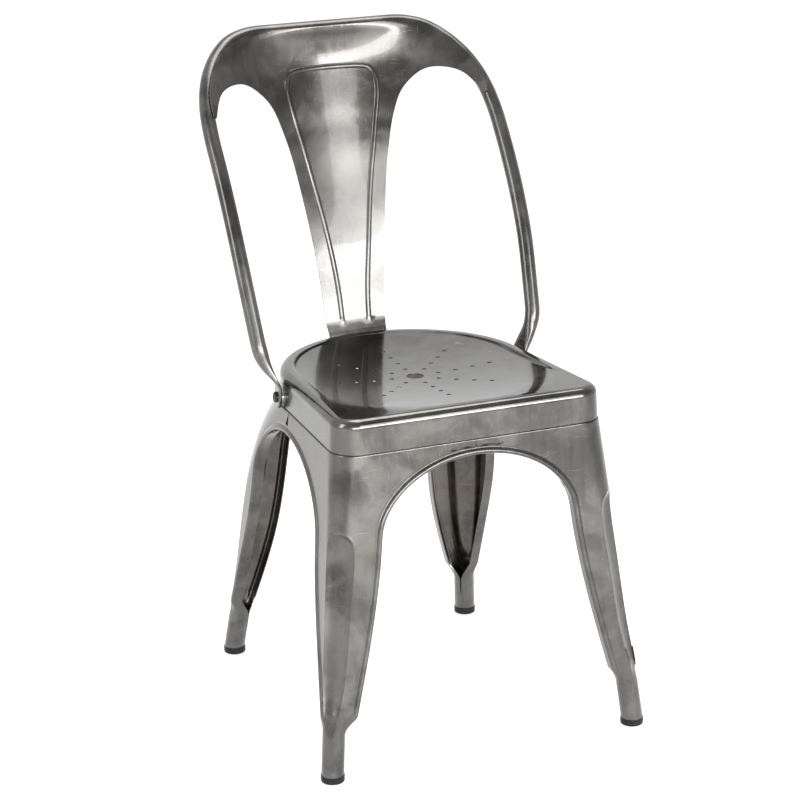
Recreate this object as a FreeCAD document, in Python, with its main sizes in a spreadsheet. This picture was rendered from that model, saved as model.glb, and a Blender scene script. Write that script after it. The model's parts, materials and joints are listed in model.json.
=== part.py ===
import FreeCAD, Part
import math
import os
import Sketcher

# Stacking metal bistro chair. Millimetres, +Z up. The chair faces -Y, and +X is on the right as seen
# from the front. The origin is on the floor under the middle of the chair's bounding box.

V = FreeCAD.Vector

# Driving sizes. y is measured from the middle of the seat. A height is above the floor, a drop is
# below the seat's rim or below the seam, and a rise is above the seat's rim.
SIZES = {
    # seat pan
    "seat_height": 453.0,
    "skirt_depth": 42.5,
    "seat_front": 184.0,
    "seat_corner_x": 149.0,
    "seat_corner_radius": 30.0,
    "seat_rear_radius": 163.0,
    "seat_rear_y": 26.0,
    "seat_rear_x": 2.0,
    "skirt_flare": 2.0,
    "rim_rounding": 11.0,
    "rim_width": 19.0,
    "pan_sheet": 1.2,
    "dish_depth": 13.0,
    "dish_radius": 1200.0,
    "drain_diameter": 23.0,
    "vent_diameter": 5.6,
    "vent_rays": 8.0,
    "vents_per_ray": 4.0,
    "vent_first_radius": 32.5,
    "vent_spacing": 24.4,
    # leg frame
    "leg_sheet": 1.5,
    "leg_proud": 0.8,
    "seam_gap": 1.0,
    "tuck_height": 17.0,
    "fit_gap": 0.3,
    "touch_gap": 0.1,
    "sheet_end_height": 62.0,
    "front_foot_x": 209.6,
    "front_foot_y": 211.0,
    "rear_foot_x": 176.0,
    "rear_foot_y": 240.5,
    "front_lean_x": 0.10,
    "front_lean_y": 0.12,
    "rear_lean_x": 0.10,
    "rear_lean_y": 0.20,
    "rear_corner_spread": 50.0,
    "leg_split_y": 15.0,
    # arches between the legs
    "front_crown_drop": 20.5,
    "front_arch_rise": 97.0,
    "front_leg_top": 62.5,
    "front_leg_middle": 54.5,
    "front_leg_foot": 38.5,
    "rear_crown_drop": 25.5,
    "rear_arch_rise": 85.0,
    "rear_leg_top": 70.0,
    "rear_leg_middle": 62.0,
    "rear_leg_foot": 36.0,
    "side_crown_drop": 29.5,
    "side_arch_rise": 104.0,
    "side_front_top": 77.5,
    "side_front_middle": 61.0,
    "side_front_foot": 38.5,
    "side_rear_top": 74.0,
    "side_rear_middle": 55.0,
    "side_rear_foot": 24.0,
    "arm_end_height": 72.0,
    "flange_depth": 13.0,
    "bead_width": 9.0,
    "bead_height": 1.2,
    # flutes down the leg corners
    "flute_top_drop": 92.5,
    "flute_bottom_height": 75.0,
    "flute_depth": 12.0,
    "flute_axis_offset": 24.0,
    # feet
    "foot_tube_diameter": 28.5,
    "foot_tube_wall": 1.5,
    "foot_tube_top": 74.0,
    "foot_sheet_proud": 0.7,
    "foot_slit_width": 1.6,
    "foot_slit_bottom": 36.0,
    "foot_top_slant": 0.45,
    "cap_lip": 0.6,
    "cap_height": 9.5,
    "cap_rounding": 3.0,
    "cap_plug_length": 14.0,
    # back hoop
    "hoop_tube_diameter": 20.0,
    "hoop_tube_wall": 1.5,
    "hoop_top_rise": 395.0,
    "hoop_overhang_back": 102.0,
    "hoop_overhang_side": 36.5,
    "hoop_end_width": 29.0,
    "hoop_end_thickness": 4.4,
    "hoop_end_bend_rise": 15.0,
    "blade_low_drop": 43.7,
    "blade_low_inset": 11.5,
    "blade_high_drop": 28.7,
    "blade_high_inset": 6.9,
    "strip_bend_radius": 14.0,
    # back plate
    "plate_sheet": 1.5,
    "weld_gap": 0.55,
    "plate_bead_width": 6.0,
    "plate_bead_height": 1.6,
    "plate_bend_rise": 12.0,
    "plate_bend_ahead": 81.0,
    "plate_flange_top_drop": 9.0,
    "plate_flange_drop": 37.0,
    "plate_flange_width": 83.0,
    # fasteners
    "side_screw_ahead": 243.3,
    "side_screw_drop": 31.8,
    "side_screw_diameter": 8.0,
    "side_head_diameter": 14.0,
    "side_head_height": 4.4,
    "side_head_rounding": 3.1,
    "side_socket_width": 5.0,
    "side_socket_depth": 2.6,
    "spacer_thickness": 3.4,
    "spacer_diameter": 18.0,
    "rear_screw_spread": 22.0,
    "rear_screw_drop": 25.0,
    "rear_screw_diameter": 6.0,
    "rear_head_diameter": 10.5,
    "rear_head_height": 3.3,
    "rear_head_rounding": 2.3,
    "rear_socket_width": 4.0,
    "rear_socket_depth": 2.0,
    "screw_clearance": 0.25,
    "side_nut_width": 13.0,
    "side_nut_height": 6.5,
    "rear_nut_width": 10.0,
    "rear_nut_height": 5.0,
    "thread_beyond_nut": 2.0,
}

doc = FreeCAD.newDocument("bistro_chair")
sheet = doc.addObject("Spreadsheet::Sheet", "Sizes")
for row, (alias, value) in enumerate(SIZES.items(), start=1):
    sheet.set("A%d" % row, alias)
    sheet.set("B%d" % row, str(value))
    sheet.setAlias("B%d" % row, alias)
doc.recompute()


def size(alias):
    """A driving size read from the sheet."""
    return float(sheet.get(alias))


def between(start, end, share):
    return start + (end - start) * share


# Places that follow from the driving sizes
SEAM = size("seat_height") - size("skirt_depth")
SEAT_REAR = size("seat_rear_y") + size("seat_rear_radius")
HOOP_RADIUS = size("hoop_tube_diameter") / 2
HOOP_TOP = size("seat_height") + size("hoop_top_rise")
HOOP_BACK = SEAT_REAR + size("hoop_overhang_back")
HOOP_HALF = size("seat_rear_x") + size("seat_rear_radius") + size("hoop_overhang_side")
FOOT_RADIUS = size("foot_tube_diameter") / 2
CAP_RADIUS = FOOT_RADIUS + size("cap_lip")
SIDE_SCREW_Y = HOOP_BACK - size("side_screw_ahead")
SIDE_SCREW_HEIGHT = size("seat_height") - size("side_screw_drop")
REAR_SCREW_HEIGHT = size("seat_height") - size("rear_screw_drop")
BACK_MOST = HOOP_BACK + HOOP_RADIUS
FRONT_MOST = size("front_foot_y") - size("front_lean_y") * size("cap_height") + CAP_RADIUS
SEAT_MIDDLE = V(0, (FRONT_MOST - BACK_MOST) / 2, 0)
PARTS = []
RIGHT_CORNERS = (1, 2)

# Reaches of cutting blocks, and how near two heights are when they count as the same
BEYOND = 1500.0
OVERSHOOT = 5.0
WALL_CUT_DEPTH = 200.0
FRONT_WALL_FROM = 100.0
REAR_WALL_FROM = 120.0
SIDE_WALL_FROM = 90.0
ARCH_FOOT_WIDEN = 15.0
ARCH_FOOT_DROP = 8.0
ARCH_FLOOR = 30.0
SAME_LEVEL = 0.01

# Share of a straight run that the arc at one of its ends takes
CORNER_TRIM = 0.45


def keep(label, thing, place=None):
    """Label a sub-part and stand it in the chair's frame."""
    thing.Label = label
    chair = FreeCAD.Placement(SEAT_MIDDLE, FreeCAD.Rotation())
    thing.Placement = chair.multiply(place or FreeCAD.Placement())
    PARTS.append(thing)
    return thing


def shape_part(label, shape):
    thing = doc.addObject("Part::Feature", label)
    thing.Shape = shape
    return keep(label, thing)


# Outlines and sheets

def wire_round(circles, z):
    """Closed outline drawn tight round corner circles (x, y, radius), listed anticlockwise."""
    tangents = []
    for index, (x1, y1, r1) in enumerate(circles):
        x2, y2, r2 = circles[(index + 1) % len(circles)]
        angle = math.atan2(y2 - y1, x2 - x1) - math.acos((r1 - r2) / math.hypot(x2 - x1, y2 - y1))
        out = (math.cos(angle), math.sin(angle))
        start = V(x1 + r1 * out[0], y1 + r1 * out[1], z)
        end = V(x2 + r2 * out[0], y2 + r2 * out[1], z)
        tangents.append((start, end, out))
    edges = []
    for index, (start, end, out) in enumerate(tangents):
        following = tangents[(index + 1) % len(tangents)]
        x, y, radius = circles[(index + 1) % len(circles)]
        middle = V(out[0] + following[2][0], out[1] + following[2][1], 0).normalize()
        edges.append(Part.makeLine(start, end))
        edges.append(Part.Arc(end, V(x, y, z) + middle * radius, following[0]).toShape())
    return Part.Wire(edges)


def pan_circles(height, grow):
    """Corner circles of the seat pan's skirt; it flares a little towards the seam."""
    share = (size("seat_height") - height) / size("skirt_depth")
    grow = grow + size("skirt_flare") * share
    front_x = size("seat_corner_x")
    front_y = size("seat_front") - size("seat_corner_radius")
    front = size("seat_corner_radius") + grow
    rear = size("seat_rear_radius") + grow
    rear_x = size("seat_rear_x")
    rear_y = size("seat_rear_y")
    return [(-front_x, -front_y, front), (front_x, -front_y, front),
            (rear_x, rear_y, rear), (-rear_x, rear_y, rear)]


def leg_circles(height, grow):
    """Corner circles of the leg frame, which spreads from the seam down to the four foot tubes."""
    end = size("sheet_end_height")
    share = (SEAM - height) / (SEAM - end)
    foot_radius = FOOT_RADIUS + size("foot_sheet_proud")
    grow_top = size("skirt_flare") + size("leg_proud")
    front_top = size("seat_corner_radius") + grow_top
    front_x = between(size("seat_corner_x"), size("front_foot_x") - size("front_lean_x") * end, share)
    front_top_y = size("seat_front") - size("seat_corner_radius")
    front_y = between(front_top_y, size("front_foot_y") - size("front_lean_y") * end, share)
    front = between(front_top, foot_radius, share)
    rear_top = size("seat_rear_radius") + grow_top
    foot_side = size("rear_foot_x") - size("rear_lean_x") * end + foot_radius
    foot_back = size("rear_foot_y") - size("rear_lean_y") * end + foot_radius
    side = between(size("seat_rear_x") + rear_top, foot_side, share)
    back = between(size("seat_rear_y") + rear_top, foot_back, share)
    rest = 1 - share
    spread = size("rear_corner_spread")
    rear = foot_radius + spread * rest + (rear_top - foot_radius - spread) * max(rest, 0) ** 5
    front = front + grow
    rear_grown = rear + grow
    return [(-front_x, -front_y, front), (front_x, -front_y, front),
            (side - rear, back - rear, rear_grown), (rear - side, back - rear, rear_grown)]


def leg_block(grow):
    """Solid inside the leg frame's outer face, moved outwards by grow."""
    top = SEAM - size("seam_gap")
    bottom = size("sheet_end_height")
    steps = 7
    levels = [between(top, bottom, (step / steps) ** 1.3) for step in range(steps + 1)]
    return Part.makeLoft([wire_round(leg_circles(level, grow), level) for level in levels], True, False)


def pan_block(grow, bottom, top):
    return Part.makeLoft([wire_round(pan_circles(level, grow), level) for level in (bottom, top)], True, True)


def prism(points_wire, direction):
    return Part.Face(points_wire).extrude(direction)


# Seat pan: a pressed sheet with a rounded rim, a shallow round dish and a skirt

def dish_tool(drop):
    """What is hollowed out of the pan's top: a large ball kept inside the rim."""
    radius = size("dish_radius")
    bottom = size("seat_height") - size("dish_depth")
    ball = Part.makeSphere(radius + drop, V(0, 0, bottom + radius))
    inset = -size("rim_width") - drop
    low = bottom - drop - OVERSHOOT
    high = size("seat_height") + OVERSHOOT
    walls = [wire_round(pan_circles(size("seat_height"), inset), level) for level in (low, high)]
    return ball.common(Part.makeLoft(walls, True, True))


def rim_edges(block, top):
    return [edge for edge in block.Edges if all(abs(vertex.Z - top) < SAME_LEVEL for vertex in edge.Vertexes)]


def make_seat_pan():
    top = size("seat_height")
    sheet_thickness = size("pan_sheet")
    outside = pan_block(0, SEAM, top)
    outside = outside.makeFillet(size("rim_rounding"), rim_edges(outside, top))
    inside_top = top - sheet_thickness
    inside = pan_block(-sheet_thickness, SEAM - OVERSHOOT, inside_top)
    inside = inside.makeFillet(size("rim_rounding") - sheet_thickness, rim_edges(inside, inside_top))
    pan = outside.cut(dish_tool(0)).cut(inside.cut(dish_tool(sheet_thickness)))
    low = V(0, 0, SEAM)
    through = size("skirt_depth") + OVERSHOOT
    holes = [Part.makeCylinder(size("drain_diameter") / 2, through, low)]
    rays = int(size("vent_rays"))
    for ray in range(rays):
        angle = 2 * math.pi * ray / rays
        for step in range(int(size("vents_per_ray"))):
            reach = size("vent_first_radius") + size("vent_spacing") * step
            place = low + V(reach * math.cos(angle), reach * math.sin(angle), 0)
            holes.append(Part.makeCylinder(size("vent_diameter") / 2, through, place))
    return pan.cut(holes).cut(screw_holes())


def skirt_grown(height):
    """How much the skirt has flared at a height."""
    share = (size("seat_height") - height) / size("skirt_depth")
    return size("skirt_flare") * share


def skirt_rear_y(height):
    """The skirt's outer face at the middle of the back."""
    return SEAT_REAR + skirt_grown(height)


def side_screw_place(sign, outward):
    """Frame on the skirt at a side screw, moved outward along it: local Z points out of the chair."""
    radius = size("seat_rear_radius") + skirt_grown(SIDE_SCREW_HEIGHT)
    turn = math.asin((SIDE_SCREW_Y - size("seat_rear_y")) / radius)
    rise = size("skirt_flare") / size("skirt_depth")
    out = V(sign * math.cos(turn), math.sin(turn), rise).normalize()
    side = size("seat_rear_x") + radius * math.cos(turn)
    base = V(sign * side, SIDE_SCREW_Y, SIDE_SCREW_HEIGHT) + out * outward
    return FreeCAD.Placement(base, FreeCAD.Rotation(V(0, 0, 1).cross(out), V(0, 0, 1), out, "ZXY"))


def rear_screw_place(sign, outward):
    """Frame on the skirt's middle plane at a rear screw: local Z points backwards."""
    rise = size("skirt_flare") / size("skirt_depth")
    out = V(0, 1, rise).normalize()
    rear = skirt_rear_y(REAR_SCREW_HEIGHT)
    base = V(sign * size("rear_screw_spread"), rear, REAR_SCREW_HEIGHT) + out * outward
    return FreeCAD.Placement(base, FreeCAD.Rotation(V(1, 0, 0), V(0, 0, 0), out, "ZXY"))


def along_hole(place, diameter):
    reach = 5 * diameter
    hole = Part.makeCylinder(diameter / 2 + size("screw_clearance"), 2 * reach, V(0, 0, -reach))
    hole.Placement = place
    return hole


def screw_holes():
    """Ways for the hoop's side screws and the back plate's rear screws."""
    side = [along_hole(side_screw_place(sign, 0), size("side_screw_diameter")) for sign in (-1, 1)]
    rear = [along_hole(rear_screw_place(sign, 0), size("rear_screw_diameter")) for sign in (-1, 1)]
    return side + rear


# Leg frame: four pressed legs, each with half of the arch beside it on both sides

def arch_half(centre, crown, rise, line, widths):
    """Half an arch from its crown to its foot as (across, height) points.

    line gives the leg's outer corner at a height, and widths are the leg's widths at the top of its
    straight part, half way down and at its foot.
    """
    shoulder = crown - rise
    foot = size("arm_end_height")
    middle = between(shoulder, foot, 0.5)
    levels = [shoulder, middle, foot]
    edge = [line(level) - width for level, width in zip(levels, widths)]
    reach = edge[0] - centre
    points = [(centre, crown)]
    for angle in (28, 55, 76):
        turn = math.radians(angle)
        points.append((centre + reach * math.sin(turn), shoulder + rise * math.cos(turn)))
    points += list(zip(edge, levels))
    return points


def arch_curve(left, right, grow):
    """Outline of a whole arch; grow moves it into the sheet."""
    points = [V(-across, height, 0) for across, height in reversed(left)]
    points += [V(across, height, 0) for across, height in right[1:]]
    curve = Part.BSplineCurve()
    curve.interpolate(points)
    moved = []
    for point in points:
        along = curve.tangent(curve.parameter(point))[0]
        moved.append(point + V(-along.y, along.x, 0) * grow)
    grown = Part.BSplineCurve()
    grown.interpolate(moved)
    return grown, moved[0], moved[-1]


def arch_prism(left, right, grow, wall):
    """Block that cuts one arch through its own wall.

    wall turns a flat (across, height) point and a depth into a place on that side of the chair.
    """
    curve, first, last = arch_curve(left, right, grow)
    widen = ARCH_FOOT_WIDEN - grow
    end_z = size("arm_end_height") - ARCH_FOOT_DROP + grow
    corners = [last, V(last.x + widen, end_z, 0), V(last.x + widen, ARCH_FLOOR, 0),
               V(first.x - widen, ARCH_FLOOR, 0), V(first.x - widen, end_z, 0), first]
    edges = [curve.toShape()]
    for start, end in zip(corners, corners[1:]):
        edges.append(Part.makeLine(start, end))
    outline = Part.Face(Part.Wire(edges))
    return wall(outline)


def front_wall(outline):
    outline.rotate(V(0, 0, 0), V(1, 0, 0), 90)
    outline.translate(V(0, -FRONT_WALL_FROM, 0))
    return outline.extrude(V(0, -WALL_CUT_DEPTH, 0))


def rear_wall(outline):
    outline.rotate(V(0, 0, 0), V(1, 0, 0), 90)
    outline.translate(V(0, REAR_WALL_FROM, 0))
    return outline.extrude(V(0, WALL_CUT_DEPTH, 0))


def side_wall(outline):
    outline.rotate(V(0, 0, 0), V(1, 0, 0), 90)
    outline.rotate(V(0, 0, 0), V(0, 0, 1), 90)
    outline.translate(V(SIDE_WALL_FROM, 0, 0))
    return outline.extrude(V(WALL_CUT_DEPTH, 0, 0))


def corner_line(front, axis):
    """The leg's outer face at a height: its x or its distance to the front or the back."""
    def reach(height):
        x, y, radius = leg_circles(height, 0)[1 if front else 2]
        return (x if axis == "x" else abs(y)) + radius
    return reach


def arches():
    """Every arch as (left half, right half, wall)."""
    front = arch_half(0, SEAM - size("front_crown_drop"), size("front_arch_rise"), corner_line(True, "x"),
                      [size("front_leg_top"), size("front_leg_middle"), size("front_leg_foot")])
    rear = arch_half(0, SEAM - size("rear_crown_drop"), size("rear_arch_rise"), corner_line(False, "x"),
                     [size("rear_leg_top"), size("rear_leg_middle"), size("rear_leg_foot")])
    crown = SEAM - size("side_crown_drop")
    middle = size("leg_split_y")
    side_front = arch_half(-middle, crown, size("side_arch_rise"), corner_line(True, "y"),
                           [size("side_front_top"), size("side_front_middle"), size("side_front_foot")])
    side_rear = arch_half(middle, crown, size("side_arch_rise"), corner_line(False, "y"),
                          [size("side_rear_top"), size("side_rear_middle"), size("side_rear_foot")])
    return [(front, front, front_wall), (rear, rear, rear_wall), (side_front, side_rear, side_wall)]


def corner_point(index, height):
    """The outermost point of a corner, and the way out of it."""
    x, y, radius = leg_circles(height, 0)[index]
    out = V(math.copysign(1, x), math.copysign(1, y), 0).normalize()
    return V(x, y, height) + out * radius, out


def flute_tool(index, grow):
    """A long round-ended spindle beside a corner: it presses the flute into the sheet."""
    top = SEAM - size("flute_top_drop")
    bottom = size("flute_bottom_height")
    depth = size("flute_depth")
    offset = size("flute_axis_offset")
    high, out = corner_point(index, top)
    low, out = corner_point(index, bottom)
    start = low + out * offset
    axis = (high - low).normalize()
    length = (high - low).Length
    side = (out - axis * out.dot(axis)).normalize()
    # share of the length, share of the depth
    stations = [(-0.06, -0.35), (0.0, 0.0), (0.09, 0.45), (0.19, 0.76), (0.45, 1.0),
                (0.7, 1.04), (0.9, 1.0), (0.965, 0.6), (1.0, 0.0), (1.04, -0.8)]
    rim = []
    for along, deep in stations:
        rim.append(start + axis * (length * along) + side * (offset + depth * deep + grow))
    curve = Part.BSplineCurve()
    curve.interpolate(rim)
    foot = start + axis * (length * stations[0][0])
    head = start + axis * (length * stations[-1][0])
    profile = Part.Wire([Part.makeLine(foot, rim[0]), curve.toShape(), Part.makeLine(rim[-1], head),
                         Part.makeLine(head, foot)])
    return Part.Face(profile).revolve(start, axis, 360)


def right_half():
    return Part.makeBox(BEYOND, 2 * BEYOND, 2 * BEYOND, V(0, -BEYOND, -BEYOND))


def pressed_half():
    """The frame's +X half: skin with its flutes, the raised bead beside each arch and its flange."""
    sheet_thickness = size("leg_sheet")
    blocks = {}
    for grow in (0, -sheet_thickness, -sheet_thickness / 2, size("bead_height"), -size("flange_depth")):
        blocks[grow] = leg_block(grow).common(right_half())
    outer = blocks[0].cut([flute_tool(index, 0) for index in RIGHT_CORNERS])
    inner = blocks[-sheet_thickness].cut([flute_tool(index, sheet_thickness) for index in RIGHT_CORNERS])
    skin = outer.cut(inner)
    raised = blocks[size("bead_height")]
    band = raised.cut(blocks[-sheet_thickness / 2])
    rim = raised.cut(blocks[-size("flange_depth")])
    added = []
    for left, right, wall in arches():
        added.append(band.common(arch_prism(left, right, size("bead_width"), wall)))
        added.append(rim.common(arch_prism(left, right, sheet_thickness, wall)))
    openings = [arch_prism(left, right, 0, wall) for left, right, wall in arches()]
    return skin.fuse(added).cut(openings)


def tuck_ring():
    """The +X half of the frame's top edge, stepped in and standing inside the skirt."""
    sheet_thickness = size("leg_sheet")
    inset = -size("pan_sheet") - size("fit_gap")
    ledge = SEAM - size("seam_gap")
    low = ledge - sheet_thickness
    top = SEAM + size("tuck_height")
    outside = pan_block(inset, low, top)
    inside = pan_block(inset - sheet_thickness, low - OVERSHOOT, top + OVERSHOOT)
    step = prism(wire_round(leg_circles(ledge, -size("leg_proud") / 2), low), V(0, 0, sheet_thickness))
    return outside.fuse(step).cut(inside).cut(screw_holes()).common(right_half())


def foot_axis(front, sign):
    """Where a foot tube's axis meets the floor, and its direction going up."""
    end = "front" if front else "rear"
    way = -1 if front else 1
    foot = V(sign * size(end + "_foot_x"), way * size(end + "_foot_y"), 0)
    lean = V(-sign * size(end + "_lean_x"), -way * size(end + "_lean_y"), 1)
    return foot, lean


def foot_tube(front, sign):
    """The tube that a leg runs into: cut level at the cap, aslant at the top, with its slit."""
    foot, lean = foot_axis(front, sign)
    direction = V(lean).normalize()
    overrun = 2 * FOOT_RADIUS
    start = foot - lean * overrun
    long = size("foot_tube_top") + 2 * overrun
    outside = Part.makeCylinder(FOOT_RADIUS, long, start, direction)
    inside = Part.makeCylinder(FOOT_RADIUS - size("foot_tube_wall"), long, start, direction)
    tube = outside.cut(inside)
    below = Part.makeBox(2 * BEYOND, 2 * BEYOND, BEYOND, V(-BEYOND, -BEYOND, size("cap_height") - BEYOND))
    inward = V(-math.copysign(1, foot.x), -math.copysign(1, foot.y), 0).normalize()
    top = foot + lean * size("foot_tube_top")
    above = Part.makeBox(4 * overrun, 4 * overrun, long, V(-2 * overrun, -2 * overrun, 0))
    above.Placement = FreeCAD.Placement(
        top, FreeCAD.Rotation(V(0, 0, 1), inward * size("foot_top_slant") + V(0, 0, 1)))
    slit_width = size("foot_slit_width")
    slit = Part.makeBox(overrun, slit_width, long, V(0, -slit_width / 2, 0))
    turn = FreeCAD.Rotation(V(0, 0, 1), math.degrees(math.atan2(inward.y, inward.x)))
    slit.Placement = FreeCAD.Placement(foot + lean * size("foot_slit_bottom"), turn)
    return tube.cut([below, above, slit])


def make_legs():
    """The two right legs, and the left ones as their mirror images."""
    frame = pressed_half().fuse(tuck_ring()).removeSplitter()
    split = size("leg_split_y")
    reach = {"front": Part.makeBox(BEYOND, BEYOND + split, BEYOND, V(0, -BEYOND, 0)),
             "rear": Part.makeBox(BEYOND, BEYOND, BEYOND, V(0, split, 0))}
    for end in reach:
        right = frame.common(reach[end]).fuse(foot_tube(end == "front", 1))
        shape_part(end + "_right_leg", right)
        shape_part(end + "_left_leg", right.mirror(V(0, 0, 0), V(1, 0, 0)))


# Paths and swept pieces

def rounded_path(points, limit=math.inf):
    """Straight runs through the points, joined by tangent arcs.

    An arc takes CORNER_TRIM of the shorter run beside it, unless its radius is past the limit.
    """
    edges = []
    start = points[0]
    for before, corner, after in zip(points, points[1:], points[2:]):
        back = before - corner
        ahead = after - corner
        trim = CORNER_TRIM * min(back.Length, ahead.Length)
        back.normalize()
        ahead.normalize()
        half = math.acos(max(-1.0, min(1.0, back.dot(ahead)))) / 2
        radius = min(trim * math.tan(half), limit)
        trim = radius / math.tan(half)
        middle = corner + (back + ahead).normalize() * (trim / math.cos(half) - radius)
        edges.append(Part.makeLine(start, corner + back * trim))
        edges.append(Part.Arc(corner + back * trim, middle, corner + ahead * trim).toShape())
        start = corner + ahead * trim
    edges.append(Part.makeLine(start, points[-1]))
    return Part.Wire(edges)


def rod_along(points, radius):
    circle = Part.Circle(points[0], points[1] - points[0], radius).toShape()
    return rounded_path(points).makePipeShell([Part.Wire(circle)], True, False)


def strip_along(points, across, width, thickness):
    """Flat strip bent along a path: across is the direction of its width."""
    normal = (points[1] - points[0]).normalize().cross(across).normalize()
    corner = points[0] - across * (width / 2) - normal * (thickness / 2)
    corners = [corner, corner + across * width, corner + across * width + normal * thickness,
               corner + normal * thickness, corner]
    path = rounded_path(points, size("strip_bend_radius"))
    return path.makePipeShell([Part.makePolygon(corners)], True, False)


# Back hoop: one bent round tube with pressed flat ends

def hoop_points():
    """Corners of the tube's path, from the left end over the top to the right end."""
    # beyond the half width, in front of the top, below the top
    arm = [(-6.5, 230.5, 338.5), (-1.8, 203.3, 266.2), (-0.3, 172.5, 205.8), (0.1, 139.8, 154.9),
           (0.3, 108.1, 112.5), (-2.4, 85.8, 85.5), (-9.0, 65.6, 62.4), (-20.0, 46.5, 41.9),
           (-37.3, 27.4, 23.1), (-62.0, 9.5, 6.5), (-93.5, 0.0, 0.0)]
    right = [V(HOOP_HALF + across, HOOP_BACK - ahead, HOOP_TOP - below) for across, ahead, below in arm]
    left = [V(-point.x, point.y, point.z) for point in right]
    return left + right[::-1]


def hoop_end(sign, tube_start, tube_ahead):
    """Flattened end: the round tube runs out into a flat blade that is bent in to the skirt."""
    place = side_screw_place(sign, 0)
    across = place.Rotation.multVec(V(1, 0, 0))
    width = size("hoop_end_width")
    thickness = size("hoop_end_thickness")
    seat_side = size("spacer_thickness") + thickness / 2
    half = width / 2
    end = place.inverse().multVec(tube_start)
    # the blade's last two corners are below the tube's end and nearer to the chair
    bends = [(-half, seat_side), (size("hoop_end_bend_rise"), seat_side),
             (end.y - size("blade_low_drop"), end.z - size("blade_low_inset")),
             (end.y - size("blade_high_drop"), end.z - size("blade_high_inset"))]
    path = [place.multVec(V(0, up, out)) for up, out in bends]
    blade = strip_along(path, across, width, thickness)
    corners = Part.makeBox(2 * width, width, 2 * width, V(-width, -width, -width))
    corners = corners.cut(Part.makeCylinder(half, 3 * width, V(0, 0, -1.5 * width)))
    corners.Placement = place
    blade = blade.cut(corners)
    along = (tube_ahead - tube_start).normalize()
    run = (tube_start - path[-1]).Length
    side = (across - along * across.dot(along)).normalize()
    out = along.cross(side)
    sections = []
    # share of the run, of the widening and of the flattening
    for share, wide, thin in ((0.0, 0.0, 0.0), (0.45, 0.53, 0.39), (0.85, 0.91, 0.84), (1.1, 1.0, 1.0)):
        centre = tube_start - along * run * share
        half_wide = between(HOOP_RADIUS, half, wide)
        half_thick = between(HOOP_RADIUS, thickness / 2 + size("touch_gap"), thin)
        ellipse = Part.Ellipse(centre + side * half_wide, centre + out * half_thick, centre)
        sections.append(Part.Wire(ellipse.toShape()))
    neck = Part.makeLoft(sections, True, False)
    return blade.fuse(neck).cut(along_hole(place, size("side_screw_diameter")))


def make_hoop():
    points = hoop_points()
    tube = rod_along(points, HOOP_RADIUS)
    bore = rod_along(points, HOOP_RADIUS - size("hoop_tube_wall"))
    left = hoop_end(-1, points[0], points[1])
    right = hoop_end(1, points[-1], points[-2])
    return tube.cut(bore).fuse([left, right]).removeSplitter()


# Back plate: one curved sheet on the hoop's front, narrowing down to a flange behind the skirt

def spline(points):
    curve = Part.BSplineCurve()
    curve.interpolate(points)
    return curve.toShape()


def plate_block(forward, thickness):
    """Thick version of the plate's surface; forward moves its front face to the front."""
    back = HOOP_BACK - HOOP_RADIUS
    # below the top, behind the tube's front, forward curl at the half width, inside the half width
    levels = [(-7.0, 0.2, 4.06, -12.5), (0.0, -0.1, 16.52, -12.5), (8.0, 2.7, 34.4, -12.5),
              (20.0, 5.0, 52.1, -12.5), (36.0, 5.2, 65.9, -12.5), (54.0, 2.8, 76.4, -12.5),
              (64.0, 0.0, 80.3, -12.5), (84.0, -6.2, 88.3, -12.5), (103.0, -11.7, 98.7, -12.5),
              (124.0, -16.6, 106.4, 11.5), (149.0, -24.2, 107.2, 41.5), (188.0, -33.9, 105.6, 71.5),
              (237.0, -48.2, 67.1, 91.5), (266.0, -56.7, 34.8, 101.5), (303.0, -65.0, 20.51, 111.5),
              (346.0, -72.4, 5.08, 121.5), (385.0, -79.4, 2.26, 126.5)]
    sections = []
    for below, behind, curl, inside in levels:
        z = HOOP_TOP - below
        front = back + behind - size("weld_gap") - size("plate_sheet") - forward
        radius = (HOOP_HALF ** 2 + curl ** 2) / (2 * curl)
        reach = HOOP_HALF - inside
        drop = radius - math.sqrt(radius ** 2 - reach ** 2)
        corners = [V(-reach, front - drop, z), V(0, front, z), V(reach, front - drop, z)]
        rear = [corner + V(0, thickness, 0) for corner in corners]
        sections.append(Part.Wire([
            Part.Arc(*corners).toShape(),
            Part.makeLine(corners[2], rear[2]),
            Part.Arc(*rear[::-1]).toShape(),
            Part.makeLine(rear[0], corners[0])]))
    return Part.makeLoft(sections, True, False)


def plate_outline():
    outer = [(HOOP_HALF + across, HOOP_TOP - below) for across, below in (
        (-97.5, -4.0), (-78.4, 0.2), (-53.4, 9.4), (-30.9, 25.0), (-15.3, 42.7), (-4.0, 62.5),
        (0.8, 84.5), (2.0, 98.0))]
    inner = [(HOOP_HALF + across, HOOP_TOP - below) for across, below in (
        (-5.5, 102.0), (-13.0, 87.0), (-29.5, 64.0), (-49.5, 57.5), (-70.5, 59.0), (-94.5, 74.0),
        (-107.8, 89.0), (-118.1, 111.0), (-130.5, 154.0), (-145.0, 239.0), (-152.9, 303.0), (-158.9, 383.0))]
    halves = []
    for sign in (1, -1):
        outer_side = [V(sign * x, 0, z) for x, z in outer]
        inner_side = [V(sign * x, 0, z) for x, z in inner]
        halves.append((outer_side, inner_side))
    edges = []
    for outer_side, inner_side in halves:
        edges += [spline(outer_side), Part.makeLine(outer_side[-1], inner_side[0]), spline(inner_side)]
    edges.append(Part.makeLine(halves[0][0][0], halves[1][0][0]))
    edges.append(Part.makeLine(halves[0][1][-1], halves[1][1][-1]))
    return Part.Wire(Part.__sortEdges__(edges))


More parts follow.
